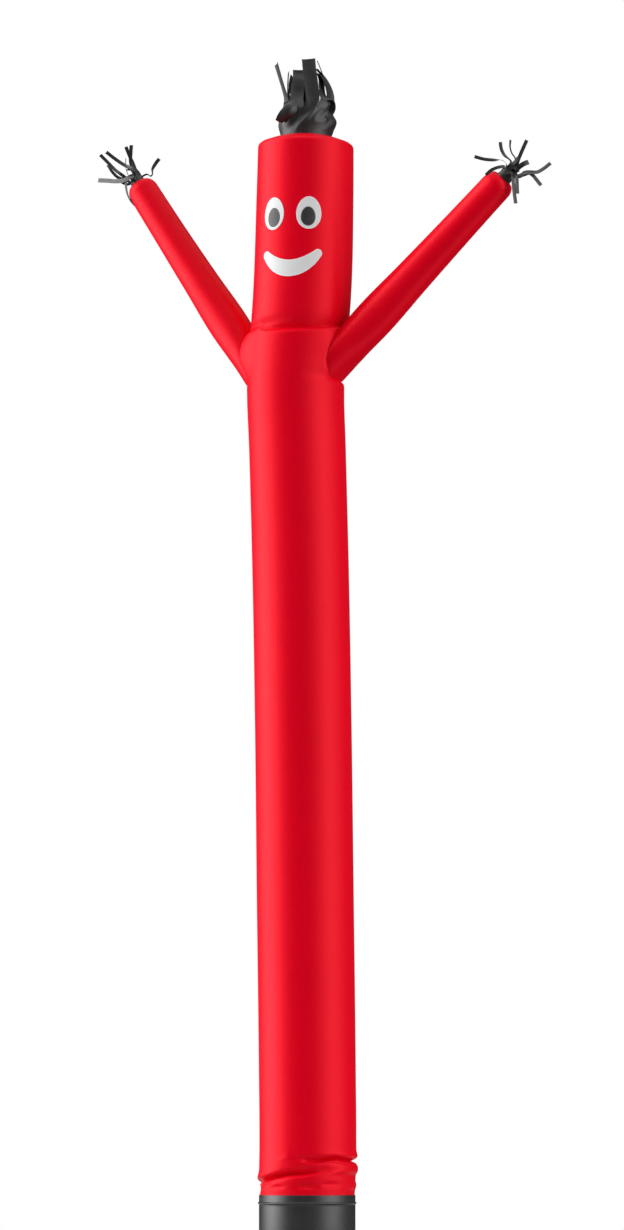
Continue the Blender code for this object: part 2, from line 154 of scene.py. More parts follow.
def wrapped(grid: np.ndarray) -> np.ndarray:
    """A grid with its first column once more at its end."""
    return np.concatenate([grid, grid[:, :1]], 1)


def ripples(angle: np.ndarray, *waves: tuple[float, int, float]) -> np.ndarray:
    """Waves round a ring.

    Args:
        angle: Angles round the ring, in radians.
        waves: Height of each kind of wave, how many of them go round, and their shift.

    Returns:
        The sum of the waves.
    """
    return sum(height * np.sin(angle * count + shift) for height, count, shift in waves)


# ------------------------------------------------------------------------ shader arithmetic

class Wire:
    """One output in a material's nodes. Arithmetic on it adds Math nodes."""

    def __init__(self, tree: bpy.types.NodeTree, socket: bpy.types.NodeSocket) -> None:
        """Hold an output socket of a node tree."""
        self.tree = tree
        self.socket = socket

    def math(self, operation: str, *values: "Wire | float") -> "Wire":
        """Add a Math node.

        Args:
            operation: The node's operation.
            values: What goes into its sockets, in order.

        Returns:
            The node's output.
        """
        node = self.tree.nodes.new("ShaderNodeMath")
        node.operation = operation
        for socket, value in zip(node.inputs, values):
            if isinstance(value, Wire):
                self.tree.links.new(value.socket, socket)
            else:
                socket.default_value = value
        return Wire(self.tree, node.outputs[0])

    def __add__(self, other: "Wire | float") -> "Wire":
        """Sum."""
        return self.math("ADD", self, other)

    def __radd__(self, other: float) -> "Wire":
        """Sum, from the right."""
        return self.math("ADD", other, self)

    def __sub__(self, other: "Wire | float") -> "Wire":
        """Difference."""
        return self.math("SUBTRACT", self, other)

    def __rsub__(self, other: float) -> "Wire":
        """Difference, from the right."""
        return self.math("SUBTRACT", other, self)

    def __mul__(self, other: "Wire | float") -> "Wire":
        """Product."""
        return self.math("MULTIPLY", self, other)

    def __rmul__(self, other: float) -> "Wire":
        """Product, from the right."""
        return self.math("MULTIPLY", other, self)

    def __truediv__(self, other: "Wire | float") -> "Wire":
        """Quotient."""
        return self.math("DIVIDE", self, other)

    def __abs__(self) -> "Wire":
        """Size without its sign."""
        return self.math("ABSOLUTE", self)

    def sine(self) -> "Wire":
        """Sine of an angle in radians."""
        return self.math("SINE", self)

    def fraction(self) -> "Wire":
        """What is left above the whole number below."""
        return self.math("FRACT", self)

    def __pow__(self, other: float) -> "Wire":
        """Power."""
        return self.math("POWER", self, other)

    def most(self, other: "Wire | float") -> "Wire":
        """The larger of two values."""
        return self.math("MAXIMUM", self, other)


class Bench:
    """A node tree while it is put together."""

    def __init__(self, tree: bpy.types.NodeTree) -> None:
        """Hold the tree."""
        self.tree = tree

    def node(
        self, kind: str, settings: dict | None = None, output: str | int = 0, **inputs: object
    ) -> Wire:
        """Add any node.

        Args:
            kind: The node's type.
            settings: The node's own settings, which are set first.
            output: The output that is wanted, by name or place.
            inputs: Value or wire for each socket, with _ for a space in its name. Sockets of a
                Mix node that share a name are given by place, as i6.

        Returns:
            The chosen output.
        """
        node = self.tree.nodes.new(kind)
        for setting, value in (settings or {}).items():
            setattr(node, setting, value)
        for label, value in inputs.items():
            place = label[1:]
            key = int(place) if label[0] == "i" and place.isdigit() else label.replace("_", " ")
            if isinstance(value, Wire):
                self.tree.links.new(value.socket, node.inputs[key])
            else:
                node.inputs[key].default_value = value
        return Wire(self.tree, node.outputs[output])

    def rise(
        self, value: Wire, start: float, end: float, low: float = 0.0, high: float = 1.0
    ) -> Wire:
        """Smooth step of a value.

        Args:
            value: The value.
            start: Where the step begins.
            end: Where it ends.
            low: The result before the step.
            high: The result past it.

        Returns:
            The result.
        """
        return self.node(
            "ShaderNodeMapRange", {"interpolation_type": "SMOOTHSTEP"}, Value=value,
            From_Min=start, From_Max=end, To_Min=low, To_Max=high,
        )

    def fall(self, value: Wire, start: float, end: float) -> Wire:
        """Smooth step of a value from 1 at start to 0 at end."""
        return self.rise(value, start, end, 1.0, 0.0)

    def blend(self, share: Wire | float, first: Wire | tuple, second: Wire | tuple) -> Wire:
        """Mix two colours."""
        settings = {"data_type": "RGBA"}
        return self.node("ShaderNodeMix", settings, output=2, i0=share, i6=first, i7=second)

    def parts(self, vector: Wire) -> tuple[Wire, ...]:
        """The three numbers of a vector."""
        split = self.node("ShaderNodeSeparateXYZ", Vector=vector).socket.node
        return tuple(Wire(self.tree, socket) for socket in split.outputs)


class Recipe(Bench):
    """A material while its nodes are put together."""

    def __init__(self, name: str) -> None:
        """Start a material with one Principled shader.

        Args:
            name: The material's name.
        """
        self.material = bpy.data.materials.new(name)
        self.material.use_nodes = True
        super().__init__(self.material.node_tree)
        self.shader = self.tree.nodes["Principled BSDF"]

    def fixed(self, **values: object) -> None:
        """Set values that are the same all over on the shader's own sockets."""
        for label, value in values.items():
            self.shader.inputs[label.replace("_", " ")].default_value = value

    def feed(self, label: str, wire: Wire) -> None:
        """Lead a wire into one of the shader's sockets."""
        self.tree.links.new(wire.socket, self.shader.inputs[label])

    def finish(self, colour: Wire, rough: Wire, height: Wire) -> bpy.types.Material:
        """Lead the wires of a finish into the shader.

        Args:
            colour: The base colour.
            rough: The roughness.
            height: The relief, in millimetres.

        Returns:
            The material.
        """
        self.feed("Base Color", colour)
        self.feed("Roughness", rough)
        self.feed("Normal", self.node("ShaderNodeBump", Height=height, Distance=MM, Strength=1.0))
        return self.material

    def map_of(self, name: str) -> tuple[Wire, Wire]:
        """The two lengths of a UV map, in metres."""
        along, up, _ = self.parts(self.node("ShaderNodeUVMap", {"uv_map": name}))
        return along, up

    def place(self) -> Wire:
        """Place on the object, in metres."""
        return self.node("ShaderNodeTexCoord", output="Object")

    def cloud(self, vector: Wire, scale: float, detail: float = 2.0) -> Wire:
        """Soft noise, from 0 to 1, with a number of blotches to the metre."""
        settings = {"noise_dimensions": "3D"}
        return self.node("ShaderNodeTexNoise", settings, Vector=vector, Scale=scale, Detail=detail)

    def near(self, cloud: Wire, middle: float, apart: float) -> Wire:
        """A value that wanders with a cloud, by as much as apart to both sides of its middle."""
        return self.rise(cloud, *CLOUD_SPAN, middle - apart, middle + apart)

    def threads(self, along: Wire, up: Wire, pitch: float) -> Wire:
        """Height in millimetres of a plain weave whose threads are a pitch apart."""
        over, under = ((length * (math.tau / pitch)).sine() for length in (along, up))
        return over * under * WEAVE_HEIGHT


# ------------------------------------------------------------------------------- finishes

def paint(
    colour: tuple[float, float, float], share: float = 1.0
) -> tuple[float, float, float, float]:
    """Colour for a socket, made darker or lighter by a share."""
    return (*(min(part * share, 1.0) for part in colour), 1.0)


class Across(Enum):
    """Which length of a UV map is measured square to a seam."""

    U = 0
    V = 1


@dataclass(frozen=True)
class Seam:
    """A sewn line on a UV map: rows of stitches on a ridge of folded cloth."""

    map_name: str
    across: Across
    at: float = 0.0                      # where the seam's middle lies, in metres
    rows: tuple[float, ...] = (0.0035, -0.0035)
    width: float = 0.011                 # of the folded cloth
    ridge: float = 0.5                   # height of the folded cloth, in millimetres
    wraps: float = 0.0                   # the map's whole length, where the seam is on its edge
    stitch: float = 0.0042               # from one stitch to the next
    thread: float = 0.0006               # how far the thread reaches to each side of its row

    def draw(self, recipe: Recipe) -> tuple[Wire, Wire]:
        """Where the thread shows, and how high the seam stands.

        Args:
            recipe: The material that the seam is drawn in.

        Returns:
            A mask of the thread, and a height in millimetres.
        """
        lengths = recipe.map_of(self.map_name)
        off = lengths[self.across.value] - self.at
        if self.wraps:
            off = self.wraps / 2 - abs(abs(off) - self.wraps / 2)
        run = lengths[1 - self.across.value]
        dash = recipe.fall(abs((run / self.stitch).fraction() - 0.5), 0.34, 0.40)
        thread = None
        for row in self.rows:
            apart = abs(abs(off) - abs(row)) if self.wraps else abs(off - row)
            line = recipe.fall(apart, self.thread / 2, self.thread)
            thread = line if thread is None else thread.most(line)
        ridge = recipe.fall(abs(off), self.width / 2 - 0.001, self.width / 2 + 0.0005)
        return thread * dash, ridge * self.ridge


def hem(map_name: str, at: float, width: float, ridge: float) -> Seam:
    """A seam along a sheet's width, with one row of stitches."""
    return Seam(map_name, Across.V, at=at, rows=(0.0,), width=width, ridge=ridge)


@dataclass(frozen=True)
class ClothFinish:
    """A coated woven cloth: a ripstop weave with a soft sheen, sewn with matching thread."""

    name: str
    slot: str
    colour: tuple[float, float, float]
    thread: tuple[float, float, float]
    roughness: float
    metallic: float = 0.0
    specular: float = 0.5
    shade: float = 0.05                  # how much the colour varies
    pitch: float = 0.0011                # from one thread of the weave to the next
    square: float = 0.0055               # ripstop squares
    square_height: float = 0.035         # of the ripstop threads, in millimetres
    blotches: tuple[float, float] = (3.2, 46.0)     # of shade to the metre, broad and close
    rumples: float = 7.0                 # soft unevenness, to the metre
    rumple_height: float = 0.9           # in millimetres
    stitch_height: float = 0.18          # of the sewing thread, in millimetres

    def weave(self, recipe: Recipe) -> Wire:
        """Height of the weave: fine threads, with a heavier one at each square.

        Args:
            recipe: The material that the weave is drawn in.

        Returns:
            The height, in millimetres.
        """
        lengths = recipe.map_of("cloth")
        first, second = (
            recipe.rise(abs((length / self.square).fraction() - 0.5), 0.42, 0.5)
            for length in lengths
        )
        return recipe.threads(*lengths, self.pitch) + first.most(second) * self.square_height

    def make(self, seams: tuple[Seam, ...]) -> bpy.types.Material:
        """Make the material.

        Args:
            seams: The sewn lines that the piece carries.

        Returns:
            The material.
        """
        recipe = Recipe(self.name)
        recipe.fixed(Metallic=self.metallic, Specular_IOR_Level=self.specular)
        place = recipe.place()
        broad = recipe.cloud(place, self.blotches[0], 3.0)
        close = recipe.cloud(place, self.blotches[1])
        colour = recipe.blend(
            recipe.rise(broad * 0.7 + close * 0.3, 0.32, 0.68),
            paint(self.colour, 1 - self.shade), paint(self.colour, 1 + self.shade),
        )
        height = self.weave(recipe) + recipe.cloud(place, self.rumples) * self.rumple_height
        rough = recipe.near(close, self.roughness, 0.03)
        for seam in seams:
            thread, ridge = seam.draw(recipe)
            colour = recipe.blend(thread, colour, paint(self.thread))
            height = height + ridge + thread * self.stitch_height
            rough = rough + thread * 0.15
        return recipe.finish(colour, rough, height)


@dataclass(frozen=True)
class PatchFinish:
    """A smooth sewn-on patch, held down by a close zigzag stitch round its edge."""

    name: str
    slot: str
    colour: tuple[float, float, float]
    thread: tuple[float, float, float]
    roughness: float
    specular: float = 0.4
    shade: float = 0.03                  # how much the colour varies
    blotches: float = 24.0               # of shade to the metre
    pitch: float = 0.0012                # from one thread of the weave to the next
    border: float = 0.0038               # width of the zigzag
    zigzag: float = 0.0016               # from one stitch to the next

    def make(self) -> bpy.types.Material:
        """Make the material.

        Returns:
            The material.
        """
        recipe = Recipe(self.name)
        recipe.fixed(Specular_IOR_Level=self.specular)
        run, off = recipe.map_of("edge")
        cloud = recipe.cloud(recipe.place(), self.blotches)
        body = recipe.blend(
            cloud, paint(self.colour, 1 - self.shade), paint(self.colour, 1 + self.shade)
        )
        strand = abs((run / self.zigzag).fraction() - 0.5) * 2.0
        border = recipe.fall(off, self.border - 0.0004, self.border + 0.0004)
        border = border * recipe.rise(off, 0.0003, 0.0008)
        shown = border * recipe.rise(strand, 0.1, 0.6, 0.75, 1.0)
        weave = recipe.threads(*recipe.map_of("cloth"), self.pitch)
        return recipe.finish(
            recipe.blend(shown, body, paint(self.thread)),
            recipe.near(cloud, self.roughness, 0.04),
            weave + cloud * 0.25 + border * (0.22 + strand * 0.10),
        )


@dataclass(frozen=True)
class MouldedPlastic:
    """Moulded plastic with a fine grain, a little worn at its bead and scuffed near the ground."""

    name: str = "collar_black_plastic"
    slot: str = "collar_black"
    colour: tuple[float, float, float] = (0.026, 0.026, 0.0265)
    worn: tuple[float, float, float] = (0.06, 0.06, 0.058)
    roughness: float = 0.29
    specular: float = 0.5
    scuffed: float = 0.06                # how high above the ground it is scuffed
    grains: float = 900.0                # to the metre, as the next two are
    blotches: float = 9.0
    streaks: float = 60.0

    def make(self, bead_height: float, bead_radius: float) -> bpy.types.Material:
        """Make the material.

        Args:
            bead_height: Height of the bead's middle.
            bead_radius: How far the bead stands out.

        Returns:
            The material.
        """
        recipe = Recipe(self.name)
        recipe.fixed(Specular_IOR_Level=self.specular)
        place = recipe.place()
        _, _, up = recipe.parts(place)
        grain = recipe.cloud(place, self.grains, 3.0)
        broad = recipe.cloud(place, self.blotches, 3.0)
        upright = recipe.node("ShaderNodeMapping", Vector=place, Scale=(3.0, 3.0, 0.35))
        streaks = recipe.cloud(upright, self.streaks, 3.0)
        bead = recipe.fall(abs(up - bead_height), bead_radius * 0.35, bead_radius)
        rubbed = bead * recipe.rise(streaks, 0.5, 0.75, 0.0, 0.25)
        scuff = recipe.fall(up, 0.0, self.scuffed) * recipe.rise(streaks, 0.45, 0.7, 0.0, 0.4)
        colour = recipe.blend(broad, paint(self.colour, 0.92), paint(self.colour, 1.10))
        rough = recipe.rise(broad, *CLOUD_SPAN, self.roughness - 0.02, self.roughness + 0.03)
        return recipe.finish(
            recipe.blend(rubbed.most(scuff), colour, paint(self.worn)),
            rough + scuff * 0.5,
            grain * 0.05 + streaks * 0.02,
        )


RED_CLOTH = ClothFinish(
    name="red_cloth_satin", slot="red_cloth", colour=(0.80, 0.0003, 0.0135),
    thread=(0.55, 0.002, 0.012), roughness=0.36, metallic=0.10, specular=0.085, shade=0.02,
)
BLACK_CLOTH = ClothFinish(
    name="black_cloth_satin", slot="black_cloth", colour=(0.020, 0.020, 0.0205),
    thread=(0.05, 0.05, 0.05), roughness=0.40, square=0.0042, shade=0.10,
)
WHITE_PATCH = PatchFinish(
    name="white_patch_cloth", slot="white_patch", colour=(0.75, 0.75, 0.755),
    thread=(0.83, 0.85, 0.87), roughness=0.55,
)
DARK_PATCH = PatchFinish(
    name="dark_patch_cloth", slot="dark_patch", colour=(0.030, 0.030, 0.031),
    thread=(0.055, 0.056, 0.058), roughness=0.42, specular=0.5,
)


# ------------------------------------------------------------------------- making of cloth

class Growth(Enum):
    """Which way a surface gets its thickness of cloth."""

    INWARD = -1.0
    BOTH_WAYS = 0.0
    OUTWARD = 1.0


@dataclass
class Sheet:
    """A grid of cloth in rows of points. A closed sheet's rows are rings."""

    points: np.ndarray                   # rows x columns x 3
    closed: bool
    maps: dict[str, np.ndarray]          # rows x columns x 2, with one column more if closed
    kept: np.ndarray | None = None       # which cells stay, one row of them fewer

    def cells(self) -> tuple[np.ndarray, dict[str, np.ndarray]]:
        """Faces of the grid, and each map's value at each of their corners.

        Returns:
            Faces as rows of four point numbers, and the maps as one pair for each corner.
        """
        rows, columns = self.points.shape[:2]
        count = columns if self.closed else columns - 1
        row, column = np.meshgrid(np.arange(rows - 1), np.arange(count), indexing="ij")
        if self.kept is not None:
            row, column = row[self.kept], column[self.kept]
        row, column = row.ravel(), column.ravel()
        corners = [(row, column), (row, column + 1), (row + 1, column + 1), (row + 1, column)]
        faces = np.stack([r * columns + c % columns for r, c in corners], -1)
        maps = {
            name: np.stack([values[r, c] for r, c in corners], 1).reshape(-1, 2)
            for name, values in self.maps.items()
        }
        return faces, maps


class Workroom:
    """Turns sheets into finished objects in the scene."""

    @staticmethod
    def join(name: str, sheets: list[Sheet], weld: bool = False) -> bpy.types.Object:
        """Make one object of some sheets.

        Args:
            name: The object's name.
            sheets: The grids, all with the same maps.
            weld: Whether points that lie together become one.

        Returns:
            The object, smooth shaded, with its UV maps.
        """
        points, faces, maps, start = [], [], {label: [] for label in sheets[0].maps}, 0
        for sheet in sheets:
            cells, corners = sheet.cells()
            faces.append(cells + start)
            points.append(sheet.points.reshape(-1, 3))
            start += len(points[-1])
            for label, values in corners.items():
                maps[label].append(values)
        mesh = bpy.data.meshes.new(name)
        mesh.from_pydata(np.concatenate(points).tolist(), [], np.concatenate(faces).tolist())
        for label, values in maps.items():
            layer = mesh.uv_layers.new(name=label)
            layer.data.foreach_set("uv", np.concatenate(values).astype(np.float32).ravel())
        obj = bpy.data.objects.new(name, mesh)
        bpy.context.scene.collection.objects.link(obj)
        Workroom.choose(obj)
        bpy.ops.object.mode_set(mode="EDIT")
        bpy.ops.mesh.select_all(action="SELECT")
        if weld:
            bpy.ops.mesh.remove_doubles(threshold=WELD)
        bpy.ops.mesh.delete_loose()
        bpy.ops.object.mode_set(mode="OBJECT")
        bpy.ops.object.shade_smooth()
        return obj

    @staticmethod
    def choose(obj: bpy.types.Object) -> None:
        """Make an object the only one that operators act on.

        Args:
            obj: The object.
        """
        bpy.ops.object.select_all(action="DESELECT")
        obj.select_set(True)
        bpy.context.view_layer.objects.active = obj

    @staticmethod
    def thicken(obj: bpy.types.Object, thickness: float, growth: Growth) -> bpy.types.Object:
        """Give a surface its thickness of cloth.

        Args:
            obj: The surface.
            thickness: The cloth's thickness.
            growth: Which way the surface gets it.

        Returns:
            The same object.
        """
        Workroom.choose(obj)
        cloth = obj.modifiers.new("cloth", "SOLIDIFY")
        cloth.thickness = thickness
        cloth.offset = growth.value
        bpy.ops.object.modifier_apply(modifier=cloth.name)
        bpy.ops.object.shade_smooth_by_angle(angle=SMOOTH_ANGLE)
        return obj

    @staticmethod
    def dress(obj: bpy.types.Object, material: bpy.types.Material, slot: str, node: str) -> None:
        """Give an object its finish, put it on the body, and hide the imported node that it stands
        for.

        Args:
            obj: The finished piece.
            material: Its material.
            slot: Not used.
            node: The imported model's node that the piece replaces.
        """
        obj.data.materials.clear()
        obj.data.materials.append(material)
        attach(obj, BODY)
        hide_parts(node)
        LOG.info("%s: %d faces, %s", obj.name, len(obj.data.polygons), material.name)


# ----------------------------------------------------------------------------- the tube

@dataclass(frozen=True)
class Section:
    """The tube's cross-section at one height."""

    height: float
    lean: float
    radius: float


@dataclass(frozen=True)
class Crease:
    """A line round the tube where its cloth turns in, or stands out if the depth is negative.

    Its line is given by the turn and the height of points along it.
    """

    line: tuple[tuple[float, float], ...]
    depth: float
    above: float                         # how far it reaches above its line
    below: float
    power: float = 2.0                   # 2 is soft, 1 is sharp at the line
    fade: float = 0.7                    # how soon it comes to its full depth

    def depth_at(self, turn: np.ndarray, height: np.ndarray) -> np.ndarray:
        """How deep the crease is at places on the tube.

        Args:
            turn: Turns of the places.
            height: Heights of the places.

        Returns:
            The depths, 0 away from the crease.
        """
        turns = [place[0] - self.line[0][0] for place in self.line]
        past = (turn - self.line[0][0]) % 360.0
        share = past / turns[-1]
        middle = through(turns, [place[1] for place in self.line], past)
        across = height - middle
        across = across / np.where(across > 0, self.above, self.below)
        full = np.sin(np.pi * np.clip(share, 0.0, 1.0)) ** self.fade
        return self.depth * full * np.exp(-np.abs(across) ** self.power) * (share < 1.0)


@dataclass(frozen=True)
class Swell:
    """Cloth that an arm draws out of the tube."""

    turn: float
    height: float
    reach: float
    width: float = 0.150                 # from its middle to each side
    rise: float = 0.150                  # from its middle up and down
    lift: float = 0.018                  # its middle is this far above the arm's

    def height_at(self, turn: np.ndarray, height: np.ndarray, radius: np.ndarray) -> np.ndarray:
        """How far the cloth is drawn out at places on the tube.

        Args:
            turn: Turns of the places.
            height: Heights of the places.
            radius: Radius of the tube there.

        Returns:
            The distances.
        """
        apart = (turn - self.turn + 180.0) % 360.0 - 180.0
        across = radius * np.radians(apart) / self.width
        up = np.clip((height - self.height - self.lift) / self.rise, -1.0, 1.0)
        return self.reach * np.exp(-(across ** 4)) * np.cos(np.pi / 2 * up) ** 1.5


@dataclass(frozen=True)
class TubeForm:
    """The tube's outside, with its bends, creases and rolls."""

    foot_x: float = -0.048
    foot_y: float = 0.001
    sections: tuple[Section, ...] = tuple(Section(*row) for row in (    # height, lean, radius
        (0.278, 0.000, 0.2252), (0.303, 0.000, 0.2248), (0.330, 0.000, 0.2262),
        (0.400, 0.001, 0.2290), (0.520, 0.0030, 0.2296), (0.900, 0.0005, 0.2302),
        (1.700, -0.010, 0.2312), (2.500, -0.020, 0.2312), (3.300, -0.035, 0.2318),
        (3.900, -0.052, 0.2330), (4.160, -0.0605, 0.2345), (4.400, -0.0445, 0.2362),
        (4.600, -0.0285, 0.2370), (5.090, -0.0122, 0.2345), (5.335, -0.0078, 0.2312),
    ))
    creases: tuple[Crease, ...] = (
        # the shoulder crease, the soft fold on its left, the tuck below the right arm
        Crease(((-32, 4.432), (-15, 4.4275), (28, 4.429), (69, 4.445), (98, 4.450)), 0.028,
               above=0.034, below=0.009, power=1.3, fade=0.4),
        Crease(((-28, 4.440), (-14, 4.436), (10, 4.433), (34, 4.436)), 0.010,
               above=0.016, below=0.007),
        Crease(((-100, 4.430), (-57, 4.447), (-15, 4.461), (14, 4.466)), 0.013,
               above=0.022, below=0.016),
        Crease(((28, 4.198), (60, 4.196), (92, 4.192)), 0.005, above=0.030, below=0.016),
        Crease(((62, 4.200), (92, 4.203), (114, 4.204), (136, 4.203), (166, 4.199)), 0.020,
               above=0.026, below=0.016),
        # the wrinkles over the collar, the right one first: a broad hollow with a sharp line in it
        Crease(((-2, 0.484), (12, 0.480), (24, 0.473), (36, 0.470), (48, 0.473), (60, 0.476)),
               0.012, above=0.026, below=0.012, power=1.6),
        Crease(((16, 0.465), (29, 0.463), (43, 0.470), (56, 0.478), (74, 0.469), (110, 0.465),
                (150, 0.452)), 0.027, above=0.0090, below=0.0065, power=1.7, fade=0.4),
        Crease(((30, 0.446), (43, 0.4515), (56, 0.458), (74, 0.4505), (104, 0.448)), 0.0030,
               above=0.003, below=0.003),
        Crease(((-52, 0.366), (-34, 0.376), (-12, 0.394), (1, 0.402), (17, 0.405), (30, 0.413),
                (48, 0.424), (66, 0.436)), 0.017, above=0.030, below=0.011, power=1.6, fade=0.6),
        Crease(((-125, 0.296), (-90, 0.341), (-59, 0.369), (-34, 0.381), (-12, 0.397), (1, 0.405),
                (17, 0.406), (34, 0.416)), 0.030, above=0.0100, below=0.0065, power=1.7, fade=0.4),
        Crease(((-150, 0.318), (-110, 0.322), (-76, 0.330), (-50, 0.338)), 0.0085,
               above=0.020, below=0.018, power=2.4, fade=0.4),
        Crease(((-80, 0.338), (-59, 0.348), (-34, 0.360), (-10, 0.377), (6, 0.386)), 0.0040,
               above=0.0035, below=0.0035),
        Crease(((150, 0.432), (200, 0.396), (250, 0.330)), 0.014, above=0.018, below=0.013),
        # the shallow dents between the left wrinkle and the collar
        Crease(((-30, 0.340), (-16, 0.344), (-4, 0.342)), 0.0045,
               above=0.010, below=0.009, fade=1.2),
        Crease(((4, 0.344), (19, 0.348), (38, 0.343)), 0.0095, above=0.014, below=0.013, fade=1.0),
        Crease(((34, 0.352), (48, 0.356), (68, 0.353)), 0.0045, above=0.012, below=0.012, fade=1.2),
        # the rolls of slack cloth that stand out
        Crease(((30, 0.486), (76, 0.490), (105, 0.488), (170, 0.480)), -0.007,
               above=0.022, below=0.012),
        Crease(((46, 0.426), (108, 0.428), (172, 0.416)), -0.010,
               above=0.020, below=0.022, power=3.6),
        Crease(((76, 0.350), (112, 0.352), (148, 0.350)), -0.005,
               above=0.014, below=0.020, power=3.0),
        Crease(((-140, 0.342), (-100, 0.366), (-65, 0.382), (-30, 0.400), (10, 0.420)), -0.009,
               above=0.026, below=0.010),
        Crease(((-16, 0.472), (6, 0.486), (30, 0.494), (52, 0.500)), -0.0045,
               above=0.018, below=0.012),
    )
    swells: tuple[Swell, ...] = (Swell(-90, 4.316, 0.052), Swell(90, 4.327, 0.014))
    tilt: float = 0.0050                 # how far the head's top drops on its lower side
    tilt_turn: float = 112.0             # the lower side
    tilt_foot: float = 5.10              # the drop begins here
    tilt_rise: float = 0.20              # and is whole this far above

    @property
    def top(self) -> Section:
        """The section below the rounding of the head's edge."""
        return self.sections[-1]

    def section_at(self, height: np.ndarray | float) -> tuple[np.ndarray, np.ndarray]:
        """Lean and radius of the tube.

        Args:
            height: Height or heights on the tube.

        Returns:
            The lean and the radius there.
        """
        heights, leans, radii = zip(*((row.height, row.lean, row.radius) for row in self.sections))
        return through(heights, leans, height), through(heights, radii, height)

    def radius_at(self, turn: np.ndarray, height: np.ndarray) -> np.ndarray:
        """Distance of the cloth from the tube's own axis.

        Args:
            turn: Turns of places on the tube.
            height: Heights of the places.

        Returns:
            The distances.
        """
        _, radius = self.section_at(height)
        out = radius.copy()
        for crease in self.creases:
            out = out - crease.depth_at(turn, height)
        for swell in self.swells:
            out = out + swell.height_at(turn, height, radius)
        return out

    def axis_at(self, height: np.ndarray | float) -> np.ndarray:
        """Points on the tube's own axis.

        Args:
            height: Height or heights of the points.

        Returns:
            The points.
        """
        lean, _ = self.section_at(height)
        return np.stack(np.broadcast_arrays(self.foot_x + lean, self.foot_y, height), -1)

    def points(
        self, turn: np.ndarray, height: np.ndarray, lift: float | np.ndarray = 0.0
    ) -> np.ndarray:
        """Points on the tube's outside, or lifted off it.

        Args:
            turn: Turns of the points.
            height: Heights of the points.
            lift: How far they are lifted off the tube.

        Returns:
            The points.
        """
        turn, height = np.broadcast_arrays(np.asarray(turn, float), np.asarray(height, float))
        return self.ring(turn, height, self.radius_at(turn, height) + lift)

    def ring(self, turn: np.ndarray, height: np.ndarray, radius: np.ndarray) -> np.ndarray:
        """Points round the tube's axis, dropped a little on the head's lower side.

        Args:
            turn: Turns of the points.
            height: Heights of the points before they drop.
            radius: Distances from the axis.

        Returns:
            The points.
        """
        made = self.axis_at(height) + heading(turn) * radius[..., None]
        side = (made - self.axis_at(made[..., 2])) @ heading(self.tilt_turn) / self.top.radius
        made[..., 2] -= self.tilt * side * eased((made[..., 2] - self.tilt_foot) / self.tilt_rise)
        return made

    def outside(self, points: np.ndarray) -> np.ndarray:
        """How far points lie outside the tube.

        Args:
            points: The points.

        Returns:
            The distances, below 0 inside the tube.
        """
        apart = points - self.axis_at(points[..., 2])
        turn = np.degrees(np.arctan2(apart[..., 0], -apart[..., 1]))
        return np.hypot(apart[..., 0], apart[..., 1]) - self.radius_at(turn, points[..., 2])


# ------------------------------------------------------------------------------- the arms

@dataclass(frozen=True)
class SleeveRow:
    """An arm's cross-section at a distance along it."""

    along: float
    half_width: float
    half_depth: float


class Side(Enum):
    """A side of the figure, as seen from the front."""

    LEFT = "left"
    RIGHT = "right"


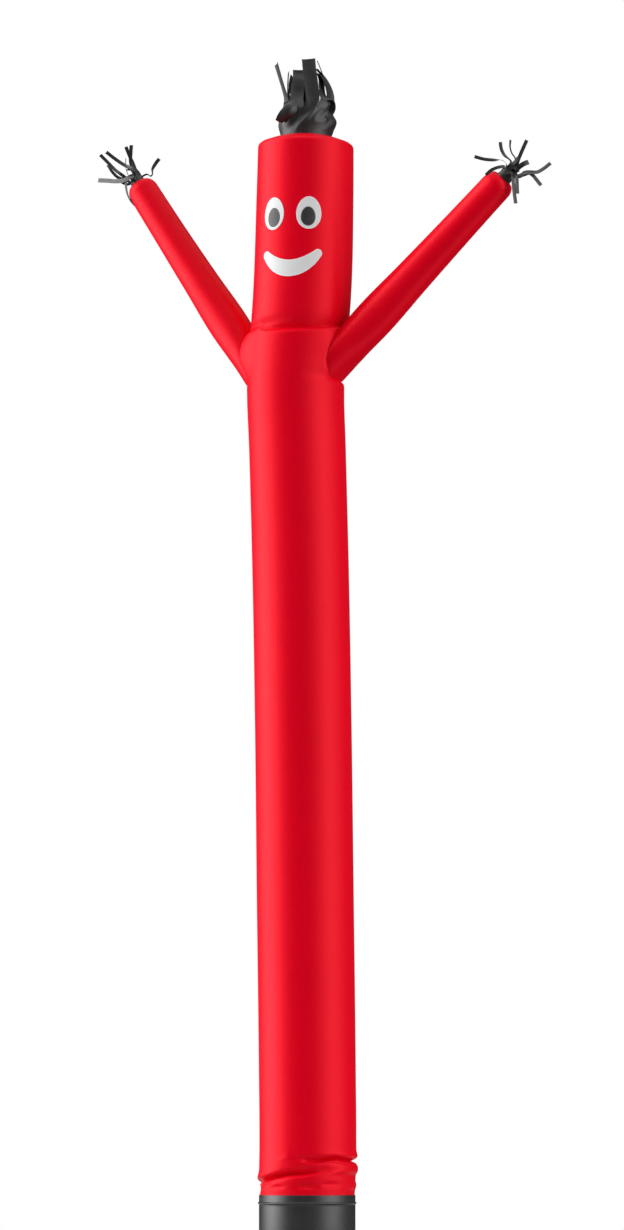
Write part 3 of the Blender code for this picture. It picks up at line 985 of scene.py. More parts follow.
@dataclass(frozen=True)
class ArmForm:
    """An arm's place, its directions and its outside."""

    side: Side
    turn: float
    height: float
    climb: float
    sweep: float                         # how far it turns round from straight out
    bow: float                           # how far its middle sags
    length: float = 1.140
    vent: float = 0.0390                 # radius of the opening at the hand
    cloth_radius: float = 0.086          # of the round that the cloth's width is measured on
    hole_radius: float = 0.10            # of the round that the armhole's seam is measured on
    search: tuple[float, float] = (-0.13, 0.36)     # where along it the tube's cloth is met
    halvings: int = 40
    rows: tuple[SleeveRow, ...] = tuple(SleeveRow(*row) for row in (    # along, half sizes
        (-0.130, 0.130, 0.086), (0.000, 0.124, 0.086), (0.085, 0.108, 0.090),
        (0.210, 0.0955, 0.0965), (0.500, 0.0875, 0.0875), (0.850, 0.0792, 0.0792),
        (1.086, 0.0756, 0.0756),
    ))

    def directions(self) -> tuple[np.ndarray, np.ndarray, np.ndarray]:
        """The arm's own directions.

        Returns:
            Along the arm, level across it, and up across it.
        """
        along = heading(self.turn + self.sweep, self.climb)
        across = unit(np.cross((0.0, 0.0, 1.0), along))
        return along, across, np.cross(along, across)

    def root(self, tube: TubeForm) -> np.ndarray:
        """Where the arm's middle line starts, on the tube before its swelling."""
        _, radius = tube.section_at(np.array(self.height))
        return tube.axis_at(self.height) + heading(self.turn) * float(radius)

    def half_sizes(self, along: np.ndarray) -> tuple[np.ndarray, np.ndarray]:
        """Size of the arm's cross-section.

        Args:
            along: Distances along the arm.

        Returns:
            Half the width and half the depth there.
        """
        places, widths, depths = zip(
            *((row.along, row.half_width, row.half_depth) for row in self.rows)
        )
        past = np.clip((along - places[-1]) / (self.length - places[-1]), 0.0, 1.0)
        closing = self.vent + (widths[-1] - self.vent) * (1 - past ** 2.2) ** 0.5
        wide, deep = through(places, widths, along), through(places, depths, along)
        return np.where(past > 0, closing, wide), np.where(past > 0, closing, deep)

    def points(
        self, tube: TubeForm, along: np.ndarray, angle: np.ndarray, lift: float | np.ndarray
    ) -> np.ndarray:
        """Points on the arm, or lifted off it.

        Args:
            tube: The tube that the arm stands on.
            along: Distances of the points along the arm.
            angle: Angles of the points round it, in radians.
            lift: How far they are lifted off it.

        Returns:
            The points.
        """
        ahead, across, over = self.directions()
        wide, deep = self.half_sizes(along)
        sag = self.bow * np.sin(np.pi * np.clip(along / self.length, 0.0, 1.0))
        return (
            self.root(tube)
            + along[..., None] * ahead
            + ((wide + lift) * np.cos(angle))[..., None] * across
            + ((deep + lift) * np.sin(angle) - sag)[..., None] * over
        )

    def start_of(self, tube: TubeForm, angle: np.ndarray, lift: float) -> np.ndarray:
        """Where lines along the arm come out of the tube, found by halving.

        Args:
            tube: The tube that the arm stands on.
            angle: Angle of each line round the arm, in radians.
            lift: How far the lines are lifted off the arm.

        Returns:
            The distances along the arm.
        """
        low, high = (np.full_like(angle, end) for end in self.search)
        for _ in range(self.halvings):
            middle = (low + high) / 2
            out = tube.outside(self.points(tube, middle, angle, lift)) > 0
            low, high = np.where(out, low, middle), np.where(out, middle, high)
        return (low + high) / 2

    def round_place(
        self, tube: TubeForm, points: np.ndarray
    ) -> tuple[np.ndarray, np.ndarray, np.ndarray]:
        """Where points lie from the arm.

        Args:
            tube: The tube that the arm stands on.
            points: The points.

        Returns:
            Their angles round the arm, how far they lie outside it, and how far along it.
        """
        ahead, across, over = self.directions()
        apart = points - self.root(tube)
        along = apart @ ahead
        wide, deep = self.half_sizes(along)
        x, y = (apart @ across) / wide, (apart @ over) / deep
        return np.arctan2(y, x), (np.sqrt(x ** 2 + y ** 2) - 1.0) * np.sqrt(wide * deep), along


ARMS = (
    ArmForm(Side.LEFT, turn=-90, height=4.316, climb=54.45, sweep=-10.0, bow=0.004, rows=(
        SleeveRow(-0.130, 0.118, 0.084), SleeveRow(0.000, 0.111, 0.085),
        SleeveRow(0.085, 0.103, 0.090), *ArmForm.rows[3:],
    )),
    ArmForm(Side.RIGHT, turn=90, height=4.327, climb=43.8, sweep=0.0, bow=0.0),
)


@dataclass
class Arm:
    """One arm: a tapering sleeve of cloth, sewn into its armhole and gathered at the hand."""

    form: ArmForm
    tube: TubeForm
    columns: int = 96
    cloth: float = 0.0016
    inset: float = 0.0012                # the arm comes out this far inside the armhole's edge
    inset_reach: float = 0.010
    tuck: float = 0.024                  # how far its own edge lies inside the tube
    pucker: float = 0.0003               # height of the puckers at its armhole
    pucker_reach: float = 0.030
    gather: float = 0.0005               # height of the gathers at its hand
    gather_at: float = 0.004             # how far from the hand they are highest
    gather_reach: float = 0.016

    def row_shares(self) -> np.ndarray:
        """Places of the rows along the arm, close together at both ends.

        Returns:
            Shares of its length, from 0 at the root to 1 at the hand.
        """
        bands = ((0.0, 0.05, 16), (0.05, 0.90, 60))
        near = [np.linspace(low, high, steps, endpoint=False) for low, high, steps in bands]
        return np.concatenate([*near, np.linspace(0.90, 1.0, 34)])

    def build(self) -> bpy.types.Object:
        """Make the arm.

        Returns:
            The arm, with its thickness.
        """
        form = self.form
        angle = math.tau * np.arange(self.columns) / self.columns
        edge = form.start_of(self.tube, angle, -self.inset)
        start = edge - self.tuck
        along = start + (form.length - start) * self.row_shares()[:, None]
        from_root = np.maximum(along - edge, 0.0)
        pucker = ripples(angle, (0.5, 23, 1.3), (0.3, 37, 0.4))
        gather = ripples(angle, (1.0, 19, 0.7), (0.6, 11, 2.0))
        lift = -self.inset * hump(from_root, self.inset_reach)
        lift = lift + self.pucker * pucker * np.exp(-from_root / self.pucker_reach)
        near_hand = hump(form.length - along - self.gather_at, self.gather_reach)
        lift = lift + self.gather * gather * near_hand
        points = form.points(self.tube, along, angle, lift)
        closed = np.append(angle, math.tau)
        maps = {
            "cloth": pairs(closed * form.cloth_radius, wrapped(along)),
            "armhole": pairs(closed * form.hole_radius, wrapped(from_root)),
        }
        obj = Workroom.join(f"arm_{form.side.value}_cloth", [Sheet(points, True, maps)])
        return Workroom.thicken(obj, self.cloth, Growth.INWARD)

    def dress(self, obj: bpy.types.Object) -> None:
        """Sew the arm's seams and give it its finish.

        Args:
            obj: The arm.
        """
        form = self.form
        girth = math.tau * form.cloth_radius
        seams = (
            hem("armhole", at=0.007, width=0.008, ridge=0.3),
            hem("cloth", at=form.length - 0.012, width=0.016, ridge=0.3),
            Seam("cloth", Across.U, at=girth / 2 if form.side is Side.LEFT else 0.0, wraps=girth),
        )
        Workroom.dress(obj, RED_CLOTH.make(seams), RED_CLOTH.slot, "arm_" + form.side.value)


# ------------------------------------------------------------------------- tube and cap

@dataclass
class TubeBody:
    """The tube: one sleeve of cloth from its hem inside the collar to the cap's seam."""

    tube: TubeForm
    columns: int = 144
    cloth: float = 0.0014
    cloth_radius: float = 0.231          # of the round that the cloth's width is measured on
    corner_radius: float = 0.020         # of the rounding of the head's top edge
    corner_turn: float = 64.0
    corner_rows: int = 11
    bore_inset: float = 0.0024           # the armhole's edge lies this far inside the arm
    groove: float = 0.0016               # depth of the turned-in edge round an armhole
    groove_start: float = 0.002          # how far inside the arm it still grows deeper
    groove_reach: float = 0.0045
    rim: float = 0.0010                  # height of the low rim round the groove
    rim_at: float = 0.0095
    rim_reach: float = 0.005
    longest_pull: float = 0.011          # how far along the arm an edge point is drawn at most
    map_behind: float = 0.20             # how far behind an arm's root its armhole is measured
    cut_behind: float = 0.12             # how far behind it cells are cut at most
    cut_above: float = 4.0               # and above which height

    def heights(self) -> np.ndarray:
        """Heights of the rows, close together where the cloth wrinkles.

        Returns:
            The heights, from the hem up to the rounding of the head's top edge.
        """
        edges = (0.278, 0.303, 0.520, 0.900, 3.900, 4.150, 4.395, 4.470, 4.600, 5.200, 5.335)
        counts = (3, 190, 7, 30, 4, 30, 32, 18, 9, 7)
        bands = zip(edges, edges[1:], counts)
        return np.concatenate([np.linspace(*band, endpoint=False) for band in bands])

    def rounding(self, bend: np.ndarray | float) -> tuple[np.ndarray, np.ndarray]:
        """Cross-section of the rounding of the head's top edge.

        Args:
            bend: How far round it, in degrees from its foot.

        Returns:
            The radius and the height there.
        """
        top, bend = self.tube.top, np.radians(bend)
        inward, upward = 1 - np.cos(bend), np.sin(bend)
        return top.radius - self.corner_radius * inward, top.height + self.corner_radius * upward

    def armhole(self, points: np.ndarray) -> tuple[np.ndarray, np.ndarray]:
        """Where points on the tube lie from the nearer armhole.

        Args:
            points: The points.

        Returns:
            How far along the armhole's edge they lie, and how far off it.
        """
        run, off = None, None
        for arm in ARMS:
            angle, away, along = arm.round_place(self.tube, points)
            away = np.where(along > -self.map_behind, away, 1.0)
            near = angle * arm.hole_radius
            run = near if run is None else np.where(away < off, near, run)
            off = away if off is None else np.minimum(away, off)
        return run, off

    def build(self) -> bpy.types.Object:
        """Make the tube, with its two armholes.

        Returns:
            The tube, with its thickness.
        """
        turn = 180.0 + 360.0 * np.arange(self.columns) / self.columns
        height = self.heights()[:, None]
        _, off = self.armhole(self.tube.points(turn, height))
        dip = -self.groove * hump(np.maximum(off, -self.groove_start), self.groove_reach)
        rim = self.rim * hump(off - self.rim_at, self.rim_reach)
        bend = np.linspace(0.0, self.corner_turn, self.corner_rows)[:, None]
        inward, upward = (np.broadcast_to(part, (len(bend), len(turn)))
                          for part in self.rounding(bend))
        points = np.concatenate([
            self.tube.points(turn, height, dip + rim), self.tube.ring(turn, upward, inward),
        ])
        kept = self.cut_armholes(points)
        around = math.tau * self.cloth_radius * np.arange(self.columns + 1) / self.columns
        up = wrapped(points[..., 2])
        foot = points[-self.corner_rows, 0, 2]
        up[-self.corner_rows:] = foot + self.corner_radius * np.radians(bend)
        maps = {
            "cloth": pairs(around, up),
            "armhole": pairs(*(wrapped(part) for part in self.armhole(points))),
        }
        obj = Workroom.join("body_tube_cloth", [Sheet(points, True, maps, kept)], weld=True)
        return Workroom.thicken(obj, self.cloth, Growth.INWARD)

    def cut_armholes(self, points: np.ndarray) -> np.ndarray:
        """Cut the cells inside each arm and draw the edge points onto the cut.

        Args:
            points: The tube's rows of points, which are moved in place.

        Returns:
            Which cells stay.
        """
        nearby = np.roll(points, -1, axis=1)
        middles = (points[:-1] + nearby[:-1] + points[1:] + nearby[1:]) / 4
        kept = np.ones(middles.shape[:2], bool)
        for arm in ARMS:
            _, off, along = arm.round_place(self.tube, middles)
            gone = (off < -self.bore_inset) & (along > -self.cut_behind)
            gone &= middles[..., 2] > self.cut_above
            kept &= ~gone
            before = np.roll(gone, 1, axis=1)
            touched, inner = np.zeros(points.shape[:2], bool), np.ones(points.shape[:2], bool)
            for rows in (slice(0, -1), slice(1, None)):
                touched[rows] |= gone | before
                inner[rows] &= gone & before
            edge = touched & ~inner
            angle, _, own = arm.round_place(self.tube, points[edge])
            start = arm.start_of(self.tube, angle, -self.bore_inset)
            start = np.clip(start, own - self.longest_pull, own + self.longest_pull)
            drawn = arm.points(self.tube, start, angle, -self.bore_inset)
            points[edge] = drawn - self.groove * unit(drawn - self.tube.axis_at(drawn[:, 2]))
        return kept

    def dress(self, obj: bpy.types.Object) -> None:
        """Sew the tube's seams and give it its finish.

        Args:
            obj: The tube.
        """
        seams = (
            Seam("cloth", Across.U, wraps=math.tau * self.cloth_radius, width=0.014),
            hem("armhole", at=0.0105, width=0.010, ridge=0.2),
            hem("cloth", at=5.345, width=0.008, ridge=0.2),
        )
        Workroom.dress(obj, RED_CLOTH.make(seams), RED_CLOTH.slot, "body_tube")


@dataclass
class HeadCap:
    """The domed cap, open at its vent, with a rolled seam to the tube."""

    body: TubeBody
    vent: float = 0.1235                 # radius of its opening
    rise: float = 0.034                  # from its seam up to the vent
    dome: float = 0.42                   # how much steeper it starts than it ends
    columns: int = 144
    cloth: float = 0.0014
    cloth_radius: float = 0.18           # of the round that the cloth's width is measured on
    seam_bend: float = 65.0              # where on the tube's rounding the dome starts
    edge_bend: float = 66.0              # and where its cloth does
    dip: float = 0.0008                  # how far the very edge of its cloth turns down
    roll: float = 0.0020                 # height of the rolled seam
    roll_at: float = 0.005
    roll_reach: float = 0.0045
    gather: float = 0.0010               # height of the gathers at the vent
    gather_reach: float = 0.014

    def height_at(self, radius: np.ndarray | float) -> np.ndarray:
        """Height of the cap's cloth.

        Args:
            radius: Distances from the head's axis.

        Returns:
            The heights there.
        """
        seam, base = self.body.rounding(self.seam_bend)
        inward = (seam - radius) / (seam - self.vent)
        return base + self.rise * ((1 + self.dome) * inward - self.dome * inward ** 2)

    def build(self) -> bpy.types.Object:
        """Make the cap.

        Returns:
            The cap, with its thickness.
        """
        edge, _ = self.body.rounding(self.edge_bend)
        turn = 180.0 + 360.0 * np.arange(self.columns) / self.columns
        outer = np.linspace(0.0, 0.16, 12, endpoint=False)
        share = np.append(outer, np.linspace(0.16, 1.0, 18))[:, None]
        inward = (edge - self.vent) * share
        radius = edge - inward
        gather = ripples(np.radians(turn), (1.0, 41, 0.0), (0.6, 27, 1.0))
        height = self.height_at(radius) - self.dip * (share == 0)
        height = height + self.roll * hump(inward - self.roll_at, self.roll_reach)
        height = height + self.gather * gather * hump(radius - self.vent, self.gather_reach)
        points = self.body.tube.ring(turn, height, np.broadcast_to(radius, height.shape))
        around = math.tau * self.cloth_radius * np.arange(self.columns + 1) / self.columns
        sheet = Sheet(points, True, {"cloth": pairs(around, inward)})
        obj = Workroom.join("head_cap_cloth", [sheet])
        return Workroom.thicken(obj, self.cloth, Growth.INWARD)

    def dress(self, obj: bpy.types.Object) -> None:
        """Sew the cap's seams and give it its finish.

        Args:
            obj: The cap.
        """
        seams = (
            hem("cloth", at=0.012, width=0.006, ridge=0.2),
            hem("cloth", at=0.090, width=0.010, ridge=0.3),
        )
        Workroom.dress(obj, RED_CLOTH.make(seams), RED_CLOTH.slot, "head_cap")


# -------------------------------------------------------------------------------- the face

class Layer(Enum):
    """Which layer of the face a patch is in: how far its underside lies off the tube."""

    FIRST = 0.0008
    SECOND = 0.0020


@dataclass
class Patch:
    """A patch of cloth laid on the head and sewn round its edge."""

    name: str
    tube: TubeForm
    turn: float
    height: float
    layer: Layer
    finish: PatchFinish
    cloth: float = 0.0008
    pressed: float = 0.0004              # how far its stitches press the edge in
    pressed_reach: float = 0.0022

    def outline(self) -> np.ndarray:
        """The patch's edge as lengths across and up, anticlockwise, closed."""
        raise NotImplementedError

    def grid(self) -> np.ndarray:
        """Rows of places on the patch, as lengths across and up."""
        raise NotImplementedError

    def rings(self) -> bool:
        """Whether the grid's rows are rings."""
        return True

    def edge_map(self, flat: np.ndarray) -> np.ndarray:
        """Where places on the patch lie from its edge.

        Args:
            flat: The places, as lengths across and up.

        Returns:
            How far along the edge they lie, and how far in from it.
        """
        outline = self.outline()
        legs = np.linalg.norm(np.diff(outline, axis=0, append=outline[:1]), axis=1)
        runs = np.concatenate([[0.0], np.cumsum(legs)[:-1]])
        apart = np.linalg.norm(flat[..., None, :] - outline, axis=-1)
        return pairs(runs[apart.argmin(-1)], apart.min(-1))

    def build(self) -> bpy.types.Object:
        """Make the patch, following the tube's curve.

        Returns:
            The patch, with its thickness.
        """
        flat = self.grid()
        edge = self.edge_map(flat)
        _, radius = self.tube.section_at(np.array(self.height))
        lift = self.layer.value - self.pressed * hump(edge[..., 1], self.pressed_reach)
        turn = self.turn + np.degrees(flat[..., 0] / float(radius))
        points = self.tube.points(turn, self.height + flat[..., 1], lift)
        maps = {"cloth": flat, "edge": edge}
        if self.rings():
            maps = {label: wrapped(part) for label, part in maps.items()}
        sheet = Sheet(points, self.rings(), maps)
        obj = Workroom.join(self.name + "_cloth", [sheet], weld=True)
        return Workroom.thicken(obj, self.cloth, Growth.OUTWARD)

    def dress(self, obj: bpy.types.Object) -> None:
        """Give the patch its finish.

        Args:
            obj: The patch.
        """
        Workroom.dress(obj, self.finish.make(), self.finish.slot, self.name)
        x, y = self.outline().T


@dataclass
class Oval(Patch):
    """An eye's white or pupil: an oval, a little wider below."""

    half_width: float = 0.058
    half_height: float = 0.078
    tilt: float = 0.0
    egg: float = 0.06                    # how much wider it is below
    columns: int = 120

    def shape(self, share: np.ndarray, angle: np.ndarray) -> np.ndarray:
        """Places on the oval.

        Args:
            share: How far out each place is, from 0 at the middle to 1 at the edge.
            angle: Its angle round the middle, in radians.

        Returns:
            The places, as lengths across and up.
        """
        across = share * self.half_width * np.cos(angle) * (1 - self.egg * np.sin(angle) * share)
        up = share * self.half_height * np.sin(angle)
        tilt = math.radians(self.tilt)
        cosine, sine = math.cos(tilt), math.sin(tilt)
        return pairs(across * cosine - up * sine, across * sine + up * cosine)

    def ring(self, share: float | np.ndarray, columns: int) -> np.ndarray:
        """Places round the oval at a share, or at several, of the way out."""
        return self.shape(share, math.tau * np.arange(columns) / columns)

    def outline(self) -> np.ndarray:
        """The oval's edge."""
        return self.ring(1.0, 6 * self.columns)

    def grid(self) -> np.ndarray:
        """Rings from the edge to the middle."""
        share = np.append([1.0, 0.99, 0.975, 0.955, 0.93], np.linspace(0.89, 0.0, 12))
        return self.ring(share[:, None], self.columns)


@dataclass
class Smile(Patch):
    """The mouth: a crescent with rounded corners."""

    reach: float = 0.1335                # from the middle to the centre of each corner
    rise: float = 0.070                  # how far the corners stand above the middle
    half_depth: float = 0.0400
    corner: float = 0.0213               # radius of its corners

    def rings(self) -> bool:
        """The grid runs from one corner to the other."""
        return False

    def rows(self, side: np.ndarray, count: int, corner_count: int) -> np.ndarray:
        """Rows of places along the smile, from left to right.

        Args:
            side: Each row's share of the half-depth, from -1 at the lower lip to 1 at the upper.
            count: How many steps the smile has between its corners.
            corner_count: How many steps each corner has.

        Returns:
            The places, as lengths across and up.
        """
        step = np.arange(-corner_count, count + corner_count + 1)
        share = np.clip(2.0 * step / count - 1.0, -1.0, 1.0)
        slope = np.arctan2(2 * self.rise * share, self.reach)
        past = np.pi / 2 * (np.maximum(np.maximum(-step, step - count), 0) / corner_count)
        half = self.half_depth - (self.half_depth - self.corner) * share ** 2
        out = self.corner * np.sin(past) * np.where(share > 0, 1.0, -1.0)
        off = side[:, None] * half * np.cos(past)
        across = self.reach * share + out * np.cos(slope) - off * np.sin(slope)
        return pairs(across, self.rise * share ** 2 + out * np.sin(slope) + off * np.cos(slope))

    def outline(self) -> np.ndarray:
        """The smile's edge."""
        lower, upper = self.rows(np.array([-1.0, 1.0]), 400, 60)
        return np.concatenate([lower, upper[::-1][1:-1]])

    def grid(self) -> np.ndarray:
        """Rows from the lower edge to the upper."""
        side = np.array([-1.0, -0.97, -0.93, -0.88, -0.8, -0.65, -0.45, -0.2, 0.0])
        return self.rows(np.append(side, -side[-2::-1]), 110, 14)


@dataclass
class Face:
    """Eyes in two layers and the mouth."""

    tube: TubeForm

    def patches(self) -> list[Patch]:
        """Lay out the face.

        Returns:
            The whites of the eyes, the pupils and the mouth.
        """
        eyes = (    # turn, height, half-width, half-height, tilt
            ("eye_white_left", Layer.FIRST, WHITE_PATCH, -16.9, 4.983, 0.0580, 0.0785, -1.0),
            ("eye_white_right", Layer.FIRST, WHITE_PATCH, 27.2, 4.979, 0.0605, 0.0785, 0.5),
            ("pupil_left", Layer.SECOND, DARK_PATCH, -16.2, 4.964, 0.0345, 0.0465, -1.0),
            ("pupil_right", Layer.SECOND, DARK_PATCH, 26.5, 4.962, 0.0350, 0.0465, 0.5),
        )
        made = [
            Oval(name, self.tube, turn, height, layer, finish,
                 half_width=half_width, half_height=half_height, tilt=tilt)
            for name, layer, finish, turn, height, half_width, half_height, tilt in eyes
        ]
        return [*made, Smile("mouth", self.tube, 6.5, 4.7125, Layer.FIRST, WHITE_PATCH)]

    def build(self) -> None:
        """Make and dress the patches."""
        for patch in self.patches():
            patch.dress(patch.build())


# ----------------------------------------------------------------------------- the fringes

@dataclass(frozen=True)
class Knot:
    """A point on a streamer's middle line, in millimetres from the middle of its vent.

    Right and front are as seen from the side the figure is looked at from. The face is the
    angle that the streamer is turned through there: 0 shows its whole width, 90 its edge.
    """

    right: float
    up: float
    front: float
    face: float = 0.0


@dataclass(frozen=True)
class Streamer:
    """One strip of the fringe, from its edge of the sleeve to its cut end."""

    knots: tuple[Knot, ...]
    width: float                         # share of its place on the sleeve
    cup: float                           # how much it is cupped, as a share of its width


def strip(*knots: tuple[float, ...], width: float = 0.94, cup: float = 0.06) -> Streamer:
    """A streamer through knots of right, up, front and face."""
    return Streamer(tuple(Knot(*knot) for knot in knots), width, cup)


@dataclass(frozen=True)
class PleatRow:
    """The sleeve's ring at a distance along it."""

    along: float
    radius: float
    crumple: float                       # how far its folds stand out and in


@dataclass
class Fringe:
    """One comb of cloth: a sleeve gathered in a vent, whose upper edge is cut into streamers."""

    name: str
    middle: np.ndarray
    along: np.ndarray
    across: np.ndarray
    over: np.ndarray
    rows: tuple[PleatRow, ...]
    streamers: tuple[Streamer, ...]
    phase: float                         # turn of the first streamer's middle, in degrees
    share_columns: int                   # columns across one streamer
    sleeve_rows: int
    seed: float
    stations: int = 18                   # rows along one streamer
    fold_long: float = 0.130             # length and width of the sleeve's folds
    fold_wide: float = 0.054
    fold_wrap: float = 0.25              # the folds close over this last share of the turn
    bulge: float = 0.0                   # how far the sleeve's right side stands out
    bulge_length: float = 0.16
    root_share: float = 0.30             # a streamer keeps to its root over this share of it
    cloth: float = 0.0006
    flat: tuple[float, float, float] = (0.80, 0.36, 0.27)

    def fold_at(self, radius: float, turn: float, up: float) -> float:
        """Height of the slanting folds at a place on the sleeve.

        Args:
            radius: Radius of the sleeve there.
            turn: How far round the place is, in radians.
            up: How far along the sleeve it is.

        Returns:
            A height from about -1 to 1.
        """
        round_way = radius * turn
        spot = Vector((
            (round_way - up) * SLANT / self.fold_wide,
            (round_way + up) * SLANT / self.fold_long,
            self.seed + 0.6 * math.cos(turn),
        ))
        ridge = 1.0 - 2.2 * abs(noise.noise(spot))
        small = noise.noise(spot * 2.3 + Vector((7.0, 3.0, 1.0)))
        return 0.85 * ridge + 0.25 * small

    def sleeve(self) -> tuple[np.ndarray, np.ndarray]:
        """Lay out the sleeve.

        Returns:
            Its rings of points, and how far along it each ring lies.
        """
        streamers = len(self.streamers)
        count = self.share_columns * streamers
        angle = math.radians(self.phase) + math.tau * (np.arange(count) / count - 0.5 / streamers)
        places, radii, crumples = zip(*((row.along, row.radius, row.crumple) for row in self.rows))
        along = np.linspace(places[0], places[-1], self.sleeve_rows)
        radius, crumple = through(places, radii, along), through(places, crumples, along)
        out = np.repeat(radius[:, None], count, axis=1)
        for i, far in enumerate(along):
            swell = self.bulge * math.sin(math.pi * min(max(far / self.bulge_length, 0.0), 1.0))
            for j, turn in enumerate(angle):
                late = float(eased((j / count - 1.0 + self.fold_wrap) / self.fold_wrap))
                folds = self.fold_at(radius[i], turn, far) * (1.0 - late)
                folds += self.fold_at(radius[i], turn - math.tau, far) * late
                right = max(math.sin(turn - 0.1), 0.0) ** 2
                out[i, j] += crumple[i] * folds + swell * right
        side = np.cos(angle)[:, None] * self.across + np.sin(angle)[:, None] * self.over
        points = self.middle + along[:, None, None] * self.along + out[..., None] * side
        return points, along

    def path(self, streamer: Streamer, start: np.ndarray) -> tuple[np.ndarray, np.ndarray]:
        """Middle line of a streamer, at even steps.

        Args:
            streamer: The strip.
            start: Where it starts on the sleeve's rim.

        Returns:
            Points along it, and the angle that it is turned through at each.
        """
        right, front, up = heading(VIEW_TURN + 90.0), heading(VIEW_TURN), np.array([0, 0, 1.0])
        knots = np.array([start, *(
            self.middle + (knot.right * right + knot.up * up + knot.front * front) * MM
            for knot in streamer.knots
        )])
        faces = [streamer.knots[0].face, *(knot.face for knot in streamer.knots)]
        legs = run_along(knots)
        at = legs[-1] * np.linspace(0.0, 1.0, self.stations + 1)
        points = np.stack([through(legs, knots[:, i], at) for i in range(3)], -1)
        return points, through(legs, faces, at)

    def grow(self, streamer: Streamer, rim: np.ndarray) -> tuple[np.ndarray, np.ndarray]:
        """Lay out a streamer, which starts on its part of the sleeve's rim.

        Args:
            streamer: The strip to make.
            rim: The points of its part of the rim.

        Returns:
            The rows of points, and the distance of each row along the strip.
        """
        start, chord = (rim[0] + rim[-1]) / 2, rim[-1] - rim[0]
        size = float(np.linalg.norm(chord))
        middle, face = self.path(streamer, start)
        tangent = unit(np.gradient(middle, axis=0))
        flat_way = unit(np.cross(tangent, heading(VIEW_TURN)))
        edge_way = unit(np.cross(tangent, flat_way))
        turned = np.radians(face)[:, None]
        wanted = np.cos(turned) * flat_way + np.sin(turned) * edge_way
        root_way = last = unit(chord)
        share = np.linspace(0.0, 1.0, len(middle))
        u = np.linspace(-0.5, 0.5, len(rim))[:, None]
        left = (rim - start) - u * chord
        rows = [rim]
        for i in range(1, len(middle)):
            aim = wanted[i] if wanted[i] @ last > 0 else -wanted[i]
            mix = float(eased(share[i] / self.root_share))
            way = root_way * (1 - mix) + aim * mix
            last = way = unit(way - tangent[i] * (way @ tangent[i]))
            width = size * (1 + (streamer.width - 1) * min(i / 2.0, 1.0))
            bend = streamer.cup * width * (1 - (2 * u) ** 2) * mix
            row = middle[i] + u * width * way + bend * np.cross(tangent[i], way)
            rows.append(row + left * (1 - mix))
        return np.array(rows), run_along(middle)

    def build(self) -> bpy.types.Object:
        """Make the sleeve and its streamers as one comb.

        Returns:
            The fringe, with its thickness.
        """
        points, along = self.sleeve()
        count = points.shape[1]
        around = math.tau * self.rows[0].radius * np.arange(count + 1) / count
        sheets = [Sheet(points, True, {"cloth": pairs(around, along[:, None])})]
        top = np.concatenate([points[-1], points[-1][:1]])
        for i, streamer in enumerate(self.streamers):
            own = slice(i * self.share_columns, (i + 1) * self.share_columns + 1)
            rows, run = self.grow(streamer, top[own])
            cloth = pairs(around[own], along[-1] + run[:, None])
            sheets.append(Sheet(rows, False, {"cloth": cloth}))
        obj = Workroom.join(self.name + "_cloth", sheets, weld=True)
        return Workroom.thicken(obj, self.cloth, Growth.BOTH_WAYS)

    def dress(self, obj: bpy.types.Object, rests_on: str) -> None:
        """Give the fringe its finish.

        Args:
            obj: The fringe.
            rests_on: Not used.
        """
        seam = hem("cloth", at=0.004, width=0.012, ridge=0.2)
        Workroom.dress(obj, BLACK_CLOTH.make((seam,)), BLACK_CLOTH.slot, self.name)


# Each streamer in order round its sleeve, anticlockwise from the front.
HAIR = (
    strip((34, 158, 120), (32, 195, 117), (26, 253, 108), (18, 313, 98, -4), (13, 372, 86),
          width=1.0),
    strip((96, 168, 78, 30), (84, 210, 30, 60), (76, 250, 0, 66), (72, 290, -12, 68),
          (60, 326, -22, 70)),
    strip((106, 142, 46, 30), (119, 152, 54, 46), (121, 130, 66, 46), (110, 110, 80, 40),
          (90, 106, 90, 30)),
    strip((112, 160, 0, 40), (120, 200, -10, 52), (113, 243, -18, 58), (86, 303, -20, 68),
          (50, 348, -22, 74)),
    strip((84, 200, -80, 60), (88, 260, -70, 84), (88, 305, -60, 85), (77, 342, -56, 85),
          (58, 390, -52, 85)),
    strip((30, 190, -108, 20), (22, 250, -92, 10), (16, 310, -84, -10)),
    strip((-24, 185, -118, -20), (-20, 235, -112, 10), (-14, 285, -96, 30)),
    strip((-84, 175, -86, -60), (-88, 224, -64, -82), (-88, 287, -58, -85), (-85, 337, -54, -86)),
    strip((-92, 158, -20, 60), (-80, 185, 0, 72), (-82, 217, -8, 84), (-74, 262, -16, 72),
          (-69, 309, -20, 80)),
    strip((-94, 158, 34, -58), (-96, 186, 38, -70), (-107, 232, 30, -76), (-123, 288, 22, -76),
          (-144, 361, 18, -74)),
    strip((-84, 134, 92), (-60, 132, 112, -8), (-78, 112, 126, -10), (-101, 90, 118, -24),
          (-126, 66, 96, -64), cup=-0.22),
    strip((-44, 160, 96), (-42, 209, 68), (-36, 255, 56), (-31, 286, 45), (-30, 304, 31),
          (-30, 319, 24), (-30, 331, 23), width=1.0),
)
